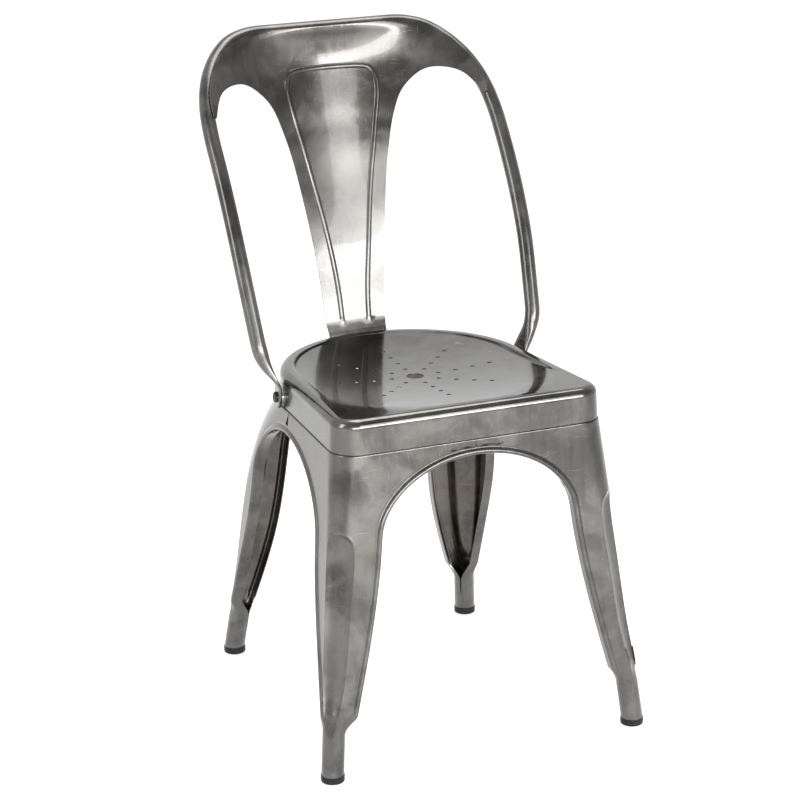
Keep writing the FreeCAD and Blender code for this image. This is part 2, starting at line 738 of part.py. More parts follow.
def bead_outline():
    """Band of the pressed line that frames the middle of the plate, open at the bottom."""
    line = [(0.0, 51.7), (25.0, 51.9), (45.0, 52.4), (56.5, 55.5), (62.0, 64.0), (63.8, 82.0), (61.0, 100.0),
            (54.0, 135.0), (45.0, 180.0), (34.5, 238.0), (25.6, 301.0), (20.6, 350.0), (19.3, 381.0)]
    right = [V(across, 0, HOOP_TOP - below) for across, below in line]
    points = [V(-point.x, 0, point.z) for point in right[:0:-1]] + right
    curve = Part.BSplineCurve()
    curve.interpolate(points)
    sides = []
    for way in (-0.5, 0.5):
        moved = []
        for point in points:
            along = curve.tangent(curve.parameter(point))[0]
            moved.append(point + V(-along.z, 0, along.x) * way * size("plate_bead_width"))
        sides.append(moved)
    return Part.Wire([spline(sides[0]), Part.makeLine(sides[0][-1], sides[1][-1]), spline(sides[1][::-1]),
                      Part.makeLine(sides[1][0], sides[0][0])])


def make_plate():
    thickness = size("plate_sheet")
    deep = V(0, BEYOND, 0)
    outline = Part.Face(plate_outline())
    plate = plate_block(0, thickness).common(outline.extrude(deep))
    band = Part.Face(bead_outline())
    raised = size("plate_bead_height")
    bead = plate_block(raised, raised + thickness / 2).common(band.extrude(deep))
    middle = thickness / 2 + size("touch_gap")
    rim = size("seat_height")
    bend = rim + size("plate_bend_rise")
    high = rim - size("plate_flange_top_drop")
    low = rim - size("plate_flange_drop")
    bend_y = HOOP_BACK - HOOP_RADIUS - size("plate_bend_ahead") + thickness / 2
    path = [V(0, bend_y, bend), V(0, skirt_rear_y(high) + middle, high),
            V(0, skirt_rear_y(low) + middle, low)]
    flange = strip_along(path, V(1, 0, 0), size("plate_flange_width"), thickness)
    rear = [along_hole(rear_screw_place(sign, 0), size("rear_screw_diameter")) for sign in (-1, 1)]
    return plate.fuse([bead, flange]).cut(rear)


# Foot caps: a round-edged disc on the floor with a plug up the leaning tube

def make_cap(label, front, sign):
    foot, lean = foot_axis(front, sign)
    disc = doc.addObject("Part::Cylinder", label + "_disc")
    disc.setExpression("Radius", "Sizes.foot_tube_diameter / 2 + Sizes.cap_lip")
    disc.setExpression("Height", "Sizes.cap_height")
    doc.recompute()
    rounded = doc.addObject("Part::Fillet", label + "_round")
    rounded.Base = disc
    radius = size("cap_rounding")
    rounded.Edges = [(index, radius, radius) for index, edge in enumerate(disc.Shape.Edges, start=1)
                     if len(edge.Vertexes) == 1 and abs(edge.Vertexes[0].Z) < SAME_LEVEL]
    plug = doc.addObject("Part::Cylinder", label + "_plug")
    bore = "Sizes.foot_tube_diameter / 2 - Sizes.foot_tube_wall"
    plug.setExpression("Radius", bore + " - Sizes.touch_gap")
    plug.setExpression("Height", "Sizes.cap_plug_length")
    level = size("cap_height")
    start = V(0, 0, level) - lean * (level / 2)
    plug.Placement = FreeCAD.Placement(start, FreeCAD.Rotation(V(0, 0, 1), lean))
    cap = doc.addObject("Part::Fuse", label)
    cap.Base = rounded
    cap.Tool = plug
    doc.recompute()
    middle = foot + V(lean.x, lean.y, 0) * level
    keep(label, cap, FreeCAD.Placement(middle, FreeCAD.Rotation()))


# Screws, nuts and spacers. Each body's local Z runs along the screw, with 0 under the screw's head.

def body_plane(body, role):
    return next(feature for feature in body.Origin.OriginFeatures if feature.Role == role)


def flat_sketch(body, name, level=0.0):
    sketch = body.newObject("Sketcher::SketchObject", name)
    sketch.AttachmentSupport = [(body_plane(body, "XY_Plane"), "")]
    sketch.MapMode = "FlatFace"
    sketch.AttachmentOffset = FreeCAD.Placement(V(0, 0, level), FreeCAD.Rotation())
    return sketch


def add_circle(sketch, formula):
    index = sketch.addGeometry(Part.Circle(V(0, 0, 0), V(0, 0, 1), 5.0))
    sketch.addConstraint(Sketcher.Constraint("Coincident", index, 3, -1, 1))
    radius = sketch.addConstraint(Sketcher.Constraint("Radius", index, 5.0))
    sketch.setExpression("Constraints[%d]" % radius, formula)


def add_hexagon(sketch, flats_formula):
    """Hexagon about the origin: its corners are on a construction circle and its sides are equal."""
    start = V(5.0, 0, 0)
    corners = [FreeCAD.Rotation(V(0, 0, 1), 60.0 * turn).multVec(start) for turn in range(6)]
    first = sketch.GeometryCount
    for turn in range(6):
        sketch.addGeometry(Part.LineSegment(corners[turn], corners[(turn + 1) % 6]))
    ring = sketch.addGeometry(Part.Circle(V(0, 0, 0), V(0, 0, 1), 5.0))
    sketch.toggleConstruction(ring)
    sketch.addConstraint(Sketcher.Constraint("Coincident", ring, 3, -1, 1))
    for turn in range(6):
        side = first + turn
        sketch.addConstraint(Sketcher.Constraint("Coincident", side, 2, first + (turn + 1) % 6, 1))
        sketch.addConstraint(Sketcher.Constraint("PointOnObject", side, 1, ring))
        if turn:
            sketch.addConstraint(Sketcher.Constraint("Equal", first, side))
    sketch.addConstraint(Sketcher.Constraint("PointOnObject", first, 1, -1))
    radius = sketch.addConstraint(Sketcher.Constraint("Radius", ring, 5.0))
    sketch.setExpression("Constraints[%d]" % radius, flats_formula + " / sqrt(3)")


def make_pad(body, sketch, formula, downwards=False):
    pad = body.newObject("PartDesign::Pad", sketch.Name + "_pad")
    pad.Profile = sketch
    pad.Reversed = downwards
    pad.setExpression("Length", formula)
    doc.recompute()
    return pad


def make_screw(label, kind, length, place):
    """Button head screw with a hexagon socket."""
    body = doc.addObject("PartDesign::Body", label)
    head = flat_sketch(body, label + "_head")
    add_circle(head, "Sizes.%s_head_diameter / 2" % kind)
    make_pad(body, head, "Sizes.%s_head_height" % kind)
    shank = flat_sketch(body, label + "_shank")
    add_circle(shank, "Sizes.%s_screw_diameter / 2" % kind)
    whole = make_pad(body, shank, "%.3f" % length, downwards=True)
    top = size(kind + "_head_height")
    edges = ["Edge%d" % index for index, edge in enumerate(whole.Shape.Edges, start=1)
             if len(edge.Vertexes) == 1 and abs(edge.Vertexes[0].Z - top) < SAME_LEVEL]
    dome = body.newObject("PartDesign::Fillet", label + "_dome")
    dome.Base = (whole, edges)
    dome.setExpression("Radius", "Sizes.%s_head_rounding" % kind)
    doc.recompute()
    socket = flat_sketch(body, label + "_socket", top)
    add_hexagon(socket, "Sizes.%s_socket_width" % kind)
    before = dome.Shape.Volume
    pocket = body.newObject("PartDesign::Pocket", label + "_recess")
    pocket.Profile = socket
    pocket.setExpression("Length", "Sizes.%s_socket_depth" % kind)
    doc.recompute()
    if pocket.Shape.Volume > before - 1:
        raise RuntimeError("the socket of %s cuts nothing" % label)
    keep(label, body, place)


def make_nut(label, kind, place):
    body = doc.addObject("PartDesign::Body", label)
    outline = flat_sketch(body, label + "_outline")
    add_hexagon(outline, "Sizes.%s_nut_width" % kind)
    add_circle(outline, "Sizes.%s_screw_diameter / 2 + Sizes.screw_clearance" % kind)
    make_pad(body, outline, "Sizes.%s_nut_height" % kind, downwards=True)
    keep(label, body, place)


def make_spacer(label, place):
    body = doc.addObject("PartDesign::Body", label)
    ring = flat_sketch(body, label + "_ring")
    add_circle(ring, "Sizes.spacer_diameter / 2")
    add_circle(ring, "Sizes.side_screw_diameter / 2 + Sizes.screw_clearance")
    make_pad(body, ring, "Sizes.spacer_thickness")
    keep(label, body, place)


def make_fasteners():
    sheets = size("pan_sheet") + size("fit_gap") + size("leg_sheet")
    spacer = size("spacer_thickness")
    grip = spacer + size("hoop_end_thickness")
    side_face = sheets + size("fit_gap")
    reach = size("thread_beyond_nut")
    for sign, side in ((-1, "left"), (1, "right")):
        make_spacer("spacer_" + side, side_screw_place(sign, 0))
        length = grip + side_face + size("side_nut_height") + reach
        make_screw("side_screw_" + side, "side", length, side_screw_place(sign, grip))
        make_nut("side_nut_" + side, "side", side_screw_place(sign, -side_face))
    # the rear nuts bear on the curved ring at their outer corners
    ring = size("seat_rear_radius") + skirt_grown(REAR_SCREW_HEIGHT) - sheets
    corner = size("rear_screw_spread") + size("rear_nut_width") / math.sqrt(3) - size("seat_rear_x")
    ring_y = size("seat_rear_y") + math.sqrt(ring ** 2 - corner ** 2)
    rear_face = skirt_rear_y(REAR_SCREW_HEIGHT) - ring_y + size("fit_gap")
    grip = size("plate_sheet") + size("touch_gap")
    for sign, side in ((-1, "left"), (1, "right")):
        length = grip + rear_face + size("rear_nut_height") + reach
        make_screw("rear_screw_" + side, "rear", length, rear_screw_place(sign, grip))
        make_nut("rear_nut_" + side, "rear", rear_screw_place(sign, -rear_face))


def write_parts():
    doc.recompute()
    for thing in doc.Objects:
        if "Invalid" in thing.State or "Error" in thing.State:
            raise RuntimeError("%s did not build" % thing.Label)
    os.makedirs("parts", exist_ok=True)
    for thing in PARTS:
        if thing.Shape.isNull() or not thing.Shape.isValid():
            raise RuntimeError("%s has no valid shape" % thing.Label)
        thing.Shape.exportStep("parts/%s.step" % thing.Label)
        solids = len(thing.Shape.Solids)
        print("%s: %d solid, %.0f mm3" % (thing.Label, solids, thing.Shape.Volume))


shape_part("seat_pan", make_seat_pan())
shape_part("back_hoop", make_hoop())
shape_part("back_plate", make_plate())
for end in ("front", "rear"):
    for sign, side in ((-1, "left"), (1, "right")):
        make_cap("%s_%s_cap" % (end, side), end == "front", sign)
make_fasteners()
make_legs()
write_parts()
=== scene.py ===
import contextlib
import json
import math

import bmesh
import bpy
import numpy as np
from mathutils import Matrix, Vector, geometry


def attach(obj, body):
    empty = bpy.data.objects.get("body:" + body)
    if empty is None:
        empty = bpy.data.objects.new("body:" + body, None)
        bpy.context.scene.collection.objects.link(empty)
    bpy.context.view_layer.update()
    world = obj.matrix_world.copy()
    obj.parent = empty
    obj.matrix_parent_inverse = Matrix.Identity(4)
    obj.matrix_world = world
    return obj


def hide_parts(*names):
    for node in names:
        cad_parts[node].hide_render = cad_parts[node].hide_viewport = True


# Metal bistro chair. Sizes are in millimetres about the middle of the seat, and metres() puts a
# point into the frame.

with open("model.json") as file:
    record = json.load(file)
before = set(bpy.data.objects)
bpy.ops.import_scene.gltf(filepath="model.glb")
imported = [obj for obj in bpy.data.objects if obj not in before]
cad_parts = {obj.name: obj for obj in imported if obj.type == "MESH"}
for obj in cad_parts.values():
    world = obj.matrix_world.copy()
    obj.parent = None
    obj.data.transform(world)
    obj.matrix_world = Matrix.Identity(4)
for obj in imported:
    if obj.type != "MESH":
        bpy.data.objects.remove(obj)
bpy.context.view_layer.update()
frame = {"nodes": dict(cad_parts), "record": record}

SEAT_Y = -38.145

# seat pan
SEAT_TOP = 453.0
SEAM = 410.5
SEAT_FRONT = 184.0
SEAT_CORNER_X = 149.0
SEAT_CORNER_R = 30.0
SEAT_REAR_R = 163.0
SEAT_REAR_X = 2.0
SEAT_REAR_Y = 26.0
SKIRT_FLARE = 2.0
RIM_ROUND = 11.0
RIM_WIDTH = 19.0
PAN_SHEET = 1.2
DISH_DEPTH = 13.0
DISH_RADIUS = 1200.0
DRAIN_R = 11.5
VENT_R = 3.0
VENT_RAYS = 8
VENTS_PER_RAY = 4
VENT_FIRST = 32.5
VENT_STEP = 24.4

# legs
LEG_SHEET = 1.4
LEG_PROUD = 0.8
LEDGE = SEAM - 1.0
TUBE_R = 14.25
FRONT_FOOT = (209.6, 211.0, 0.10, 0.12)
REAR_FOOT = (176.0, 240.5, 0.10, 0.20)
SHEET_END = 62.0
SHEET_PROUD = 0.7
REAR_SPREAD = 50.0
SPLIT_Y = 15.0
CAP_HEIGHT = 9.5
ARM_END = 72.0
NECK_TOP = 84.0
NECK_LOW = 57.0
FLANGE = 13.0
FLUTE_TOP = 318.0
FLUTE_LOW = 75.0
FLUTE_DEPTH = 12.0
FLUTE_AXIS = 24.0
FLUTE_LIP = 0.6
FLUTE_LIP_OUT = 1.8
FLUTE_LIP_WIDTH = 1.4

# back
HOOP_R = 10.0
HOOP_TOP = 848.0
HOOP_BACK = 291.0
HOOP_HALF = 201.5
END_WIDTH = 29.0
END_THICK = 4.4
# measured from the hoop's tip: where its path is eased, and where the tube widens and flattens
EASE_FROM = 125.0
EASE_TO = 31.0
EASE_PASSES = 50
WIDEN_FROM = 76.0
WIDEN_OVER = 46.0
FLATTEN_FROM = 84.0
FLATTEN_OVER = 58.0
SIDE_SCREW_Y = 47.7
SIDE_SCREW_Z = 421.2
PLATE_SHEET = 1.5
WELD_GAP = 0.55


def metres(points):
    """Millimetres about the seat's middle to metres in the frame."""
    points = np.asarray(points, float) + [0.0, SEAT_Y, 0.0]
    return points / 1000.0


def smooth(value):
    value = np.clip(value, 0.0, 1.0)
    return value * value * (3.0 - 2.0 * value)


def smooth_max(a, b, width):
    """The larger of two values, with the corner between them rounded over a width."""
    gap = np.clip(0.5 + 0.5 * (a - b) / width, 0.0, 1.0)
    return b * (1.0 - gap) + a * gap + width * gap * (1.0 - gap)


def cubic(xs, ys, at):
    """Natural cubic spline through (xs, ys), for one or several columns of ys."""
    xs = np.asarray(xs, float)
    ys = np.asarray(ys, float)
    flat = ys.ndim == 1
    if flat:
        ys = ys[:, None]
    count = len(xs)
    step = np.diff(xs)
    slope = np.diff(ys, axis=0) / step[:, None]
    matrix = np.zeros((count, count))
    right = np.zeros_like(ys)
    matrix[0, 0] = 1.0
    matrix[-1, -1] = 1.0
    for i in range(1, count - 1):
        matrix[i, i - 1:i + 2] = step[i - 1], 2 * (step[i - 1] + step[i]), step[i]
        right[i] = 6 * (slope[i] - slope[i - 1])
    bend = np.linalg.solve(matrix, right)
    at = np.asarray(at, float)
    part = np.clip(np.searchsorted(xs, at) - 1, 0, count - 2)
    width = step[part][..., None]
    left = (xs[part + 1] - at)[..., None]
    ahead = (at - xs[part])[..., None]
    value = (bend[part] * left ** 3 + bend[part + 1] * ahead ** 3) / (6 * width)
    value = value + (ys[part] / width - bend[part] * width / 6) * left
    value = value + (ys[part + 1] / width - bend[part + 1] * width / 6) * ahead
    return value[..., 0] if flat else value


def lengths(points):
    """Length along a line up to each of its points."""
    return np.r_[0, np.cumsum(np.linalg.norm(np.diff(points, axis=0), axis=1))]


def at_lengths(line, length, where):
    """Points of a line at given lengths along it."""
    return np.stack([np.interp(where, length, column) for column in line.T], axis=-1)


def unit(vectors):
    return vectors / np.linalg.norm(vectors, axis=1)[:, None]


def along_curve(points, shares):
    """Places on a smooth curve through points, at shares of its length from 0 to 1."""
    points = np.asarray(points, float)
    chord = lengths(points)
    fine = cubic(chord, points, np.linspace(0, chord[-1], 1200))
    length = lengths(fine)
    return at_lengths(fine, length, np.asarray(shares) * length[-1])


# Mesh helpers

def show(name, data):
    """A new object in the scene."""
    thing = bpy.data.objects.new(name, data)
    bpy.context.scene.collection.objects.link(thing)
    return thing


def new_piece(name, points, faces, node=None):
    mesh = bpy.data.meshes.new(name)
    mesh.from_pydata([tuple(point) for point in metres(points)], [], faces)
    mesh.materials.append(None)
    mesh.materials.append(None)
    mesh.update()
    piece = show(name, mesh)
    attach(piece, "root")
    if node:
        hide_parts(node)
    return piece


def grid_faces(rows, columns, close_columns=False, start=0):
    """Quads of a grid of points listed row by row."""
    faces = []
    last = columns if close_columns else columns - 1
    for row in range(rows - 1):
        for column in range(last):
            ahead = (column + 1) % columns
            faces.append((start + row * columns + column, start + row * columns + ahead,
                          start + (row + 1) * columns + ahead, start + (row + 1) * columns + column))
    return faces


def solidify(piece, thickness, offset):
    """Give a sheet its thickness; its inner side takes the second material."""
    modifier = piece.modifiers.new("sheet", "SOLIDIFY")
    modifier.thickness = thickness / 1000.0
    modifier.material_offset = 1
    modifier.offset = offset
    modifier.use_quality_normals = True
    return modifier


def bake(piece, sharp_degrees=40.0):
    """Apply a piece's modifiers and shade it smooth, apart from its sharp edges."""
    graph = bpy.context.evaluated_depsgraph_get()
    done = bpy.data.meshes.new_from_object(piece.evaluated_get(graph))
    piece.modifiers.clear()
    old = piece.data
    piece.data = done
    bpy.data.meshes.remove(old)
    done.polygons.foreach_set("use_smooth", np.ones(len(done.polygons), bool))
    done.set_sharp_from_angle(angle=math.radians(sharp_degrees))
    return piece


@contextlib.contextmanager
def edited(piece):
    """A piece's mesh, open for bmesh operations and written back afterwards."""
    work = bmesh.new()
    work.from_mesh(piece.data)
    yield work
    work.to_mesh(piece.data)
    work.free()


# Seat pan

def ring_round(circles, count):
    """Points and outward normals evenly round corner circles (x, y, radius), anticlockwise."""
    lines = []
    for index, (x1, y1, r1) in enumerate(circles):
        x2, y2, r2 = circles[(index + 1) % len(circles)]
        lines.append(math.atan2(y2 - y1, x2 - x1) - math.acos((r1 - r2) / math.hypot(x2 - x1, y2 - y1)))
    points = []
    normals = []
    for index, angle in enumerate(lines):
        x1, y1, r1 = circles[index]
        x2, y2, r2 = circles[(index + 1) % len(circles)]
        out = np.array([math.cos(angle), math.sin(angle)])
        start = np.array([x1, y1]) + out * r1
        end = np.array([x2, y2]) + out * r2
        for share in np.linspace(0, 1, 120, endpoint=False):
            points.append(start + (end - start) * share)
            normals.append(out)
        turn = (lines[(index + 1) % len(lines)] - angle) % (2 * math.pi)
        for share in np.linspace(0, 1, 160, endpoint=False):
            out = np.array([math.cos(angle + turn * share), math.sin(angle + turn * share)])
            points.append(np.array([x2, y2]) + out * r2)
            normals.append(out)
    points = np.array(points)
    normals = np.array(normals)
    closed = np.vstack([points, points[:1]])
    length = lengths(closed)
    where = np.linspace(0, length[-1], count, endpoint=False)
    normals = np.vstack([normals, normals[:1]])
    even = at_lengths(closed, length, where)
    return even, unit(at_lengths(normals, length, where))


def pan_circles():
    front_y = SEAT_FRONT - SEAT_CORNER_R
    return [(-SEAT_CORNER_X, -front_y, SEAT_CORNER_R), (SEAT_CORNER_X, -front_y, SEAT_CORNER_R),
            (SEAT_REAR_X, SEAT_REAR_Y, SEAT_REAR_R), (-SEAT_REAR_X, SEAT_REAR_Y, SEAT_REAR_R)]


def dish_height(x, y):
    """The dished middle: part of a large ball, flush with the rim in the front corners."""
    low = SEAT_TOP - DISH_DEPTH
    ball = low + (x ** 2 + y ** 2) / (2 * DISH_RADIUS)
    return -smooth_max(-ball, -SEAT_TOP * np.ones_like(ball), 2.2)


def make_seat_pan():
    around = 560
    ring, out = ring_round(pan_circles(), around)

    def flare(z):
        return SKIRT_FLARE * (SEAT_TOP - z) / (SEAT_TOP - SEAM)

    rows = []
    for z in np.linspace(SEAM, SEAT_TOP - RIM_ROUND, 14):
        rows.append((flare(z), z))
    for turn in np.linspace(0, math.pi / 2, 16)[1:]:
        z = SEAT_TOP - RIM_ROUND + RIM_ROUND * math.sin(turn)
        rows.append((flare(z) - RIM_ROUND + RIM_ROUND * math.cos(turn), z))
    points = [np.column_stack([ring + out * grow, np.full(around, z)]) for grow, z in rows]
    insets = [*np.linspace(12.0, RIM_WIDTH - 3.0, 4), *np.linspace(RIM_WIDTH - 2.2, RIM_WIDTH + 3.6, 14)]
    for inset in insets:
        flat = ring - out * inset
        drop = smooth((inset - RIM_WIDTH + 2.4) / 5.6)
        level = dish_height(flat[:, 0], flat[:, 1])
        points.append(np.column_stack([flat, SEAT_TOP + (level - SEAT_TOP) * drop]))
    edge = ring - out * insets[-1]
    for share in np.linspace(0, 1, 60)[1:-1]:
        flat = edge * (1 - share)
        points.append(np.column_stack([flat, dish_height(flat[:, 0], flat[:, 1])]))
    rows = len(points)
    points = np.vstack(points + [np.array([[0.0, 0.0, SEAT_TOP - DISH_DEPTH]])])
    faces = grid_faces(rows, around, close_columns=True)
    last = (rows - 1) * around
    for column in range(around):
        faces.append((last + column, last + (column + 1) % around, rows * around))
    piece = new_piece("seat_pan_sheet", points, faces, node="seat_pan")
    solidify(piece, PAN_SHEET, -1.0)
    bake(piece)
    cut_vents(piece)
    return piece


def vent_places():
    places = [(0.0, 0.0, DRAIN_R)]
    for ray in range(VENT_RAYS):
        angle = 2 * math.pi * ray / VENT_RAYS
        for step in range(VENTS_PER_RAY):
            reach = VENT_FIRST + VENT_STEP * step
            places.append((reach * math.cos(angle), reach * math.sin(angle), VENT_R))
    return places


def cut_vents(pan):
    work = bmesh.new()
    for x, y, radius in vent_places():
        centre = metres([x, y, SEAT_TOP - DISH_DEPTH / 2])
        made = bmesh.ops.create_cone(work, cap_ends=True, segments=40, radius1=radius / 1000,
                                     radius2=radius / 1000, depth=0.05)
        bmesh.ops.translate(work, verts=made["verts"], vec=Vector(centre))
    mesh = bpy.data.meshes.new("vents")
    work.to_mesh(mesh)
    work.free()
    cutter = show("vents", mesh)
    cut = pan.modifiers.new("vents", "BOOLEAN")
    cut.object = cutter
    cut.solver = "EXACT"
    bake(pan, 50.0)
    bpy.data.objects.remove(cutter)
    paint_shade_on_hole_walls(pan)


def paint_shade_on_hole_walls(pan):
    """The holes' walls take the darker steel of the sheet's inner side: painted shade in the holes."""
    lowest = (SEAT_TOP - DISH_DEPTH - 2) / 1000
    for face in pan.data.polygons:
        if abs(face.normal.z) >= 0.6 or face.center.z <= lowest:
            continue
        for x, y, radius in vent_places():
            away = metres([x, y, 0.0])[:2] - [face.center.x, face.center.y]
            if math.hypot(*away) < (radius + 0.2) / 1000:
                face.material_index = 1


# Legs: each is one grid of points from the seam down to the cap

class Corner:
    """Section of the leg frame round one corner.

    Local x is across the chair and local v points to the chair's own end (front or rear). The
    distance q along the section is 0 on the corner's diagonal, negative on the end wall and
    positive on the side wall.
    """

    def __init__(self, front):
        self.front = front

    def circle(self, z):
        share = (SEAM - z) / (SEAM - SHEET_END)
        foot_r = TUBE_R + SHEET_PROUD
        grow = SKIRT_FLARE + LEG_PROUD
        fx, fy, lean_x, lean_y = FRONT_FOOT
        front_x = SEAT_CORNER_X + (fx - lean_x * SHEET_END - SEAT_CORNER_X) * share
        top_y = SEAT_FRONT - SEAT_CORNER_R
        front_v = top_y + (fy - lean_y * SHEET_END - top_y) * share
        front_r = SEAT_CORNER_R + grow + (foot_r - SEAT_CORNER_R - grow) * share
        rx, ry, lean_x, lean_y = REAR_FOOT
        top = SEAT_REAR_R + grow
        side = SEAT_REAR_X + top + (rx - lean_x * SHEET_END + foot_r - SEAT_REAR_X - top) * share
        back = SEAT_REAR_Y + top + (ry - lean_y * SHEET_END + foot_r - SEAT_REAR_Y - top) * share
        rest = np.maximum(1 - share, 0)
        rear_r = foot_r + REAR_SPREAD * (1 - share) + (top - foot_r - REAR_SPREAD) * rest ** 5
        rear_x = side - rear_r
        rear_y = back - rear_r
        across = rear_x - front_x
        along = rear_y + front_v
        normal = np.arctan2(along, across) - np.arccos((front_r - rear_r) / np.hypot(across, along))
        if self.front:
            return front_x, front_v, front_r, -normal
        return rear_x, rear_y, rear_r, normal

    def place(self, q, z, grow=0.0):
        """Point and outward normal in local (x, v)."""
        x, v, radius, side = self.circle(z)
        turn = math.pi / 4 - q / radius
        turn = np.clip(turn, side, math.pi / 2)
        out = np.stack([np.cos(turn), np.sin(turn)], axis=-1)
        past_end = np.maximum(-q - radius * math.pi / 4, 0)
        past_side = np.maximum(q - radius * (math.pi / 4 - side), 0)
        px = x + out[..., 0] * (radius + grow) - past_end + past_side * np.sin(side)
        pv = v + out[..., 1] * (radius + grow) - past_side * np.cos(side)
        return np.stack([px, pv], axis=-1), out

    def q_at_x(self, px, z):
        """Distance along the section of a place on the end wall."""
        x, v, radius, side = self.circle(z)
        cosine = np.clip((px - x) / radius, 0, 1)
        straight = -(radius * math.pi / 4 + x - px)
        return np.where(px < x, straight, -radius * (np.arccos(cosine) - math.pi / 4))

    def q_at_v(self, pv, z):
        """Distance along the section of a place on the side wall."""
        x, v, radius, side = self.circle(z)
        start = v + radius * np.sin(side)
        sine = np.clip((pv - v) / radius, -1, 1)
        line = radius * (math.pi / 4 - side) + (start - pv) / np.cos(side)
        return np.where(pv < start, line, radius * (math.pi / 4 - np.arcsin(sine)))

    def outer(self, z, axis):
        x, v, radius, side = self.circle(z)
        return (x if axis == "x" else v) + radius


def arch_points(corner, axis, centre, drop, rise, widths):
    """Half an arch, from its foot to its crown, as (distance from the middle, height)."""
    crown = SEAM - drop
    shoulder = crown - rise
    levels = [ARM_END, (shoulder + ARM_END) / 2, shoulder]
    edge = [corner.outer(level, axis) - width for level, width in zip(levels, widths)]
    reach = edge[-1] - centre
    points = list(zip(edge, levels))
    for angle in (76, 55, 28, 0, -28, -55, -76):
        turn = math.radians(angle)
        points.append((centre + reach * math.sin(turn), shoulder + rise * math.cos(turn)))
    return np.array(points)


def arch_rows(points, crown, count):
    """Edge places and inward normals from the neck up to the crown."""
    chord = lengths(points)
    fine = cubic(chord, points, np.linspace(0, chord[-1], 3000))
    top = int(np.argmin(np.abs(fine[:, 0] - crown)))
    low = int(np.argmax(fine[:, 1] >= NECK_TOP))
    fine = fine[low:top + 1]
    length = lengths(fine)
    where = np.linspace(0, length[-1], count)
    edge = at_lengths(fine, length, where)
    edge[-1, 0] = crown
    along = unit(np.gradient(edge, axis=0))
    inward = np.stack([along[:, 1], -along[:, 0]], axis=-1)
    inward[-1] = 0, 1
    return edge, inward


# Arches beside a front (True) or rear leg: drop of the crown below the seam, rise of the arch, and
# the leg's widths at the arch's foot, middle and shoulder
END_ARCH = {True: (20.5, 97.0, (38.5, 54.5, 62.5)), False: (25.5, 85.0, (36.0, 62.0, 70.0))}
SIDE_ARCH = {True: (29.5, 104.0, (19.0, 50.0, 69.0)), False: (29.5, 104.0, (24.0, 55.0, 74.0))}
# Section of the sheet from the arch's edge: (distance from the edge, height above the wall)
FLANGE_STEPS = [(0.0, -FLANGE), (0.0, -9.0), (0.0, -5.5), (0.0, -3.0), (0.0, -1.1), (0.12, -0.2), (0.5, 0.65),
                (1.1, 1.5), (2.0, 2.05), (3.1, 2.35), (4.3, 2.25), (5.5, 1.75), (6.5, 0.9), (7.3, 0.15),
                (7.9, -0.25), (8.6, -0.4), (9.5, -0.2), (10.6, 0.0)]
# Ledge and ring inside the skirt: (growth of the section, height)
RING_STEPS = [(-0.25, LEDGE - 0.45), (-0.9, LEDGE), (-2.35, LEDGE), (-2.4, LEDGE + 4), (-3.1, LEDGE + 18)]
# Spindle of the flute: (share of its length, share of its depth)
FLUTE_STATIONS = [(-0.06, -0.35), (0.0, 0.0), (0.09, 0.45), (0.19, 0.76), (0.45, 1.0),
                  (0.7, 1.04), (0.9, 1.0), (0.965, 0.6), (1.0, 0.0), (1.04, -0.8)]
# Least rise from row to row of the sheet between the arches, where the arches themselves run level
LEAST_RISE = 0.16


class Flute:
    """The spindle that presses a corner's flute."""

    def __init__(self, corner):
        diagonal = np.array([math.sqrt(0.5), math.sqrt(0.5), 0.0])
        ends = []
        for z in (FLUTE_LOW, FLUTE_TOP):
            flat = corner.place(0.0, z)[0]
            ends.append(np.array([flat[0], flat[1], z]))
        self.start = ends[0] + diagonal * FLUTE_AXIS
        self.axis = (ends[1] - ends[0]) / np.linalg.norm(ends[1] - ends[0])
        self.length = np.linalg.norm(ends[1] - ends[0])

    def press(self, points):
        """Push points that lie inside the spindle out to its surface."""
        away = points - self.start
        along = away @ self.axis
        side = away - along[..., None] * self.axis
        radius = np.linalg.norm(side, axis=-1)
        share = along / self.length
        stations = np.array(FLUTE_STATIONS)
        depth = np.interp(np.clip(share, -0.06, 1.04), *self.table(stations))
        limit = FLUTE_AXIS + FLUTE_DEPTH * depth
        limit = np.where((share < -0.06) | (share > 1.04), 0.0, limit)
        moved = smooth_max(radius, limit, 0.35)
        moved = np.where(limit > radius - 3, moved, radius)
        beside = (radius - limit - FLUTE_LIP_OUT) / FLUTE_LIP_WIDTH
        lip = FLUTE_LIP * np.exp(-beside ** 2) * np.clip(2 * depth, 0, 1)
        return points + side / radius[..., None] * (moved - lip - radius)[..., None], limit - radius

    @staticmethod
    def table(stations):
        at = np.linspace(stations[0, 0], stations[-1, 0], 400)
        return at, cubic(stations[:, 0], stations[:, 1], at)


def flute_edges(corner, flute, heights):
    """Half widths of the flute on both sides of the diagonal at each height."""
    widths = []
    for way in (-1.0, 1.0):
        near = np.zeros_like(heights)
        far = np.full_like(heights, 34.0)
        for step in range(26):
            middle = (near + far) / 2
            flat = corner.place(way * middle, heights)[0]
            inside = flute.press(np.concatenate([flat, heights[:, None]], axis=-1))[1] > 0
            near = np.where(inside, middle, near)
            far = np.where(inside, far, middle)
        widths.append(np.maximum(near, 7.0))
    return widths


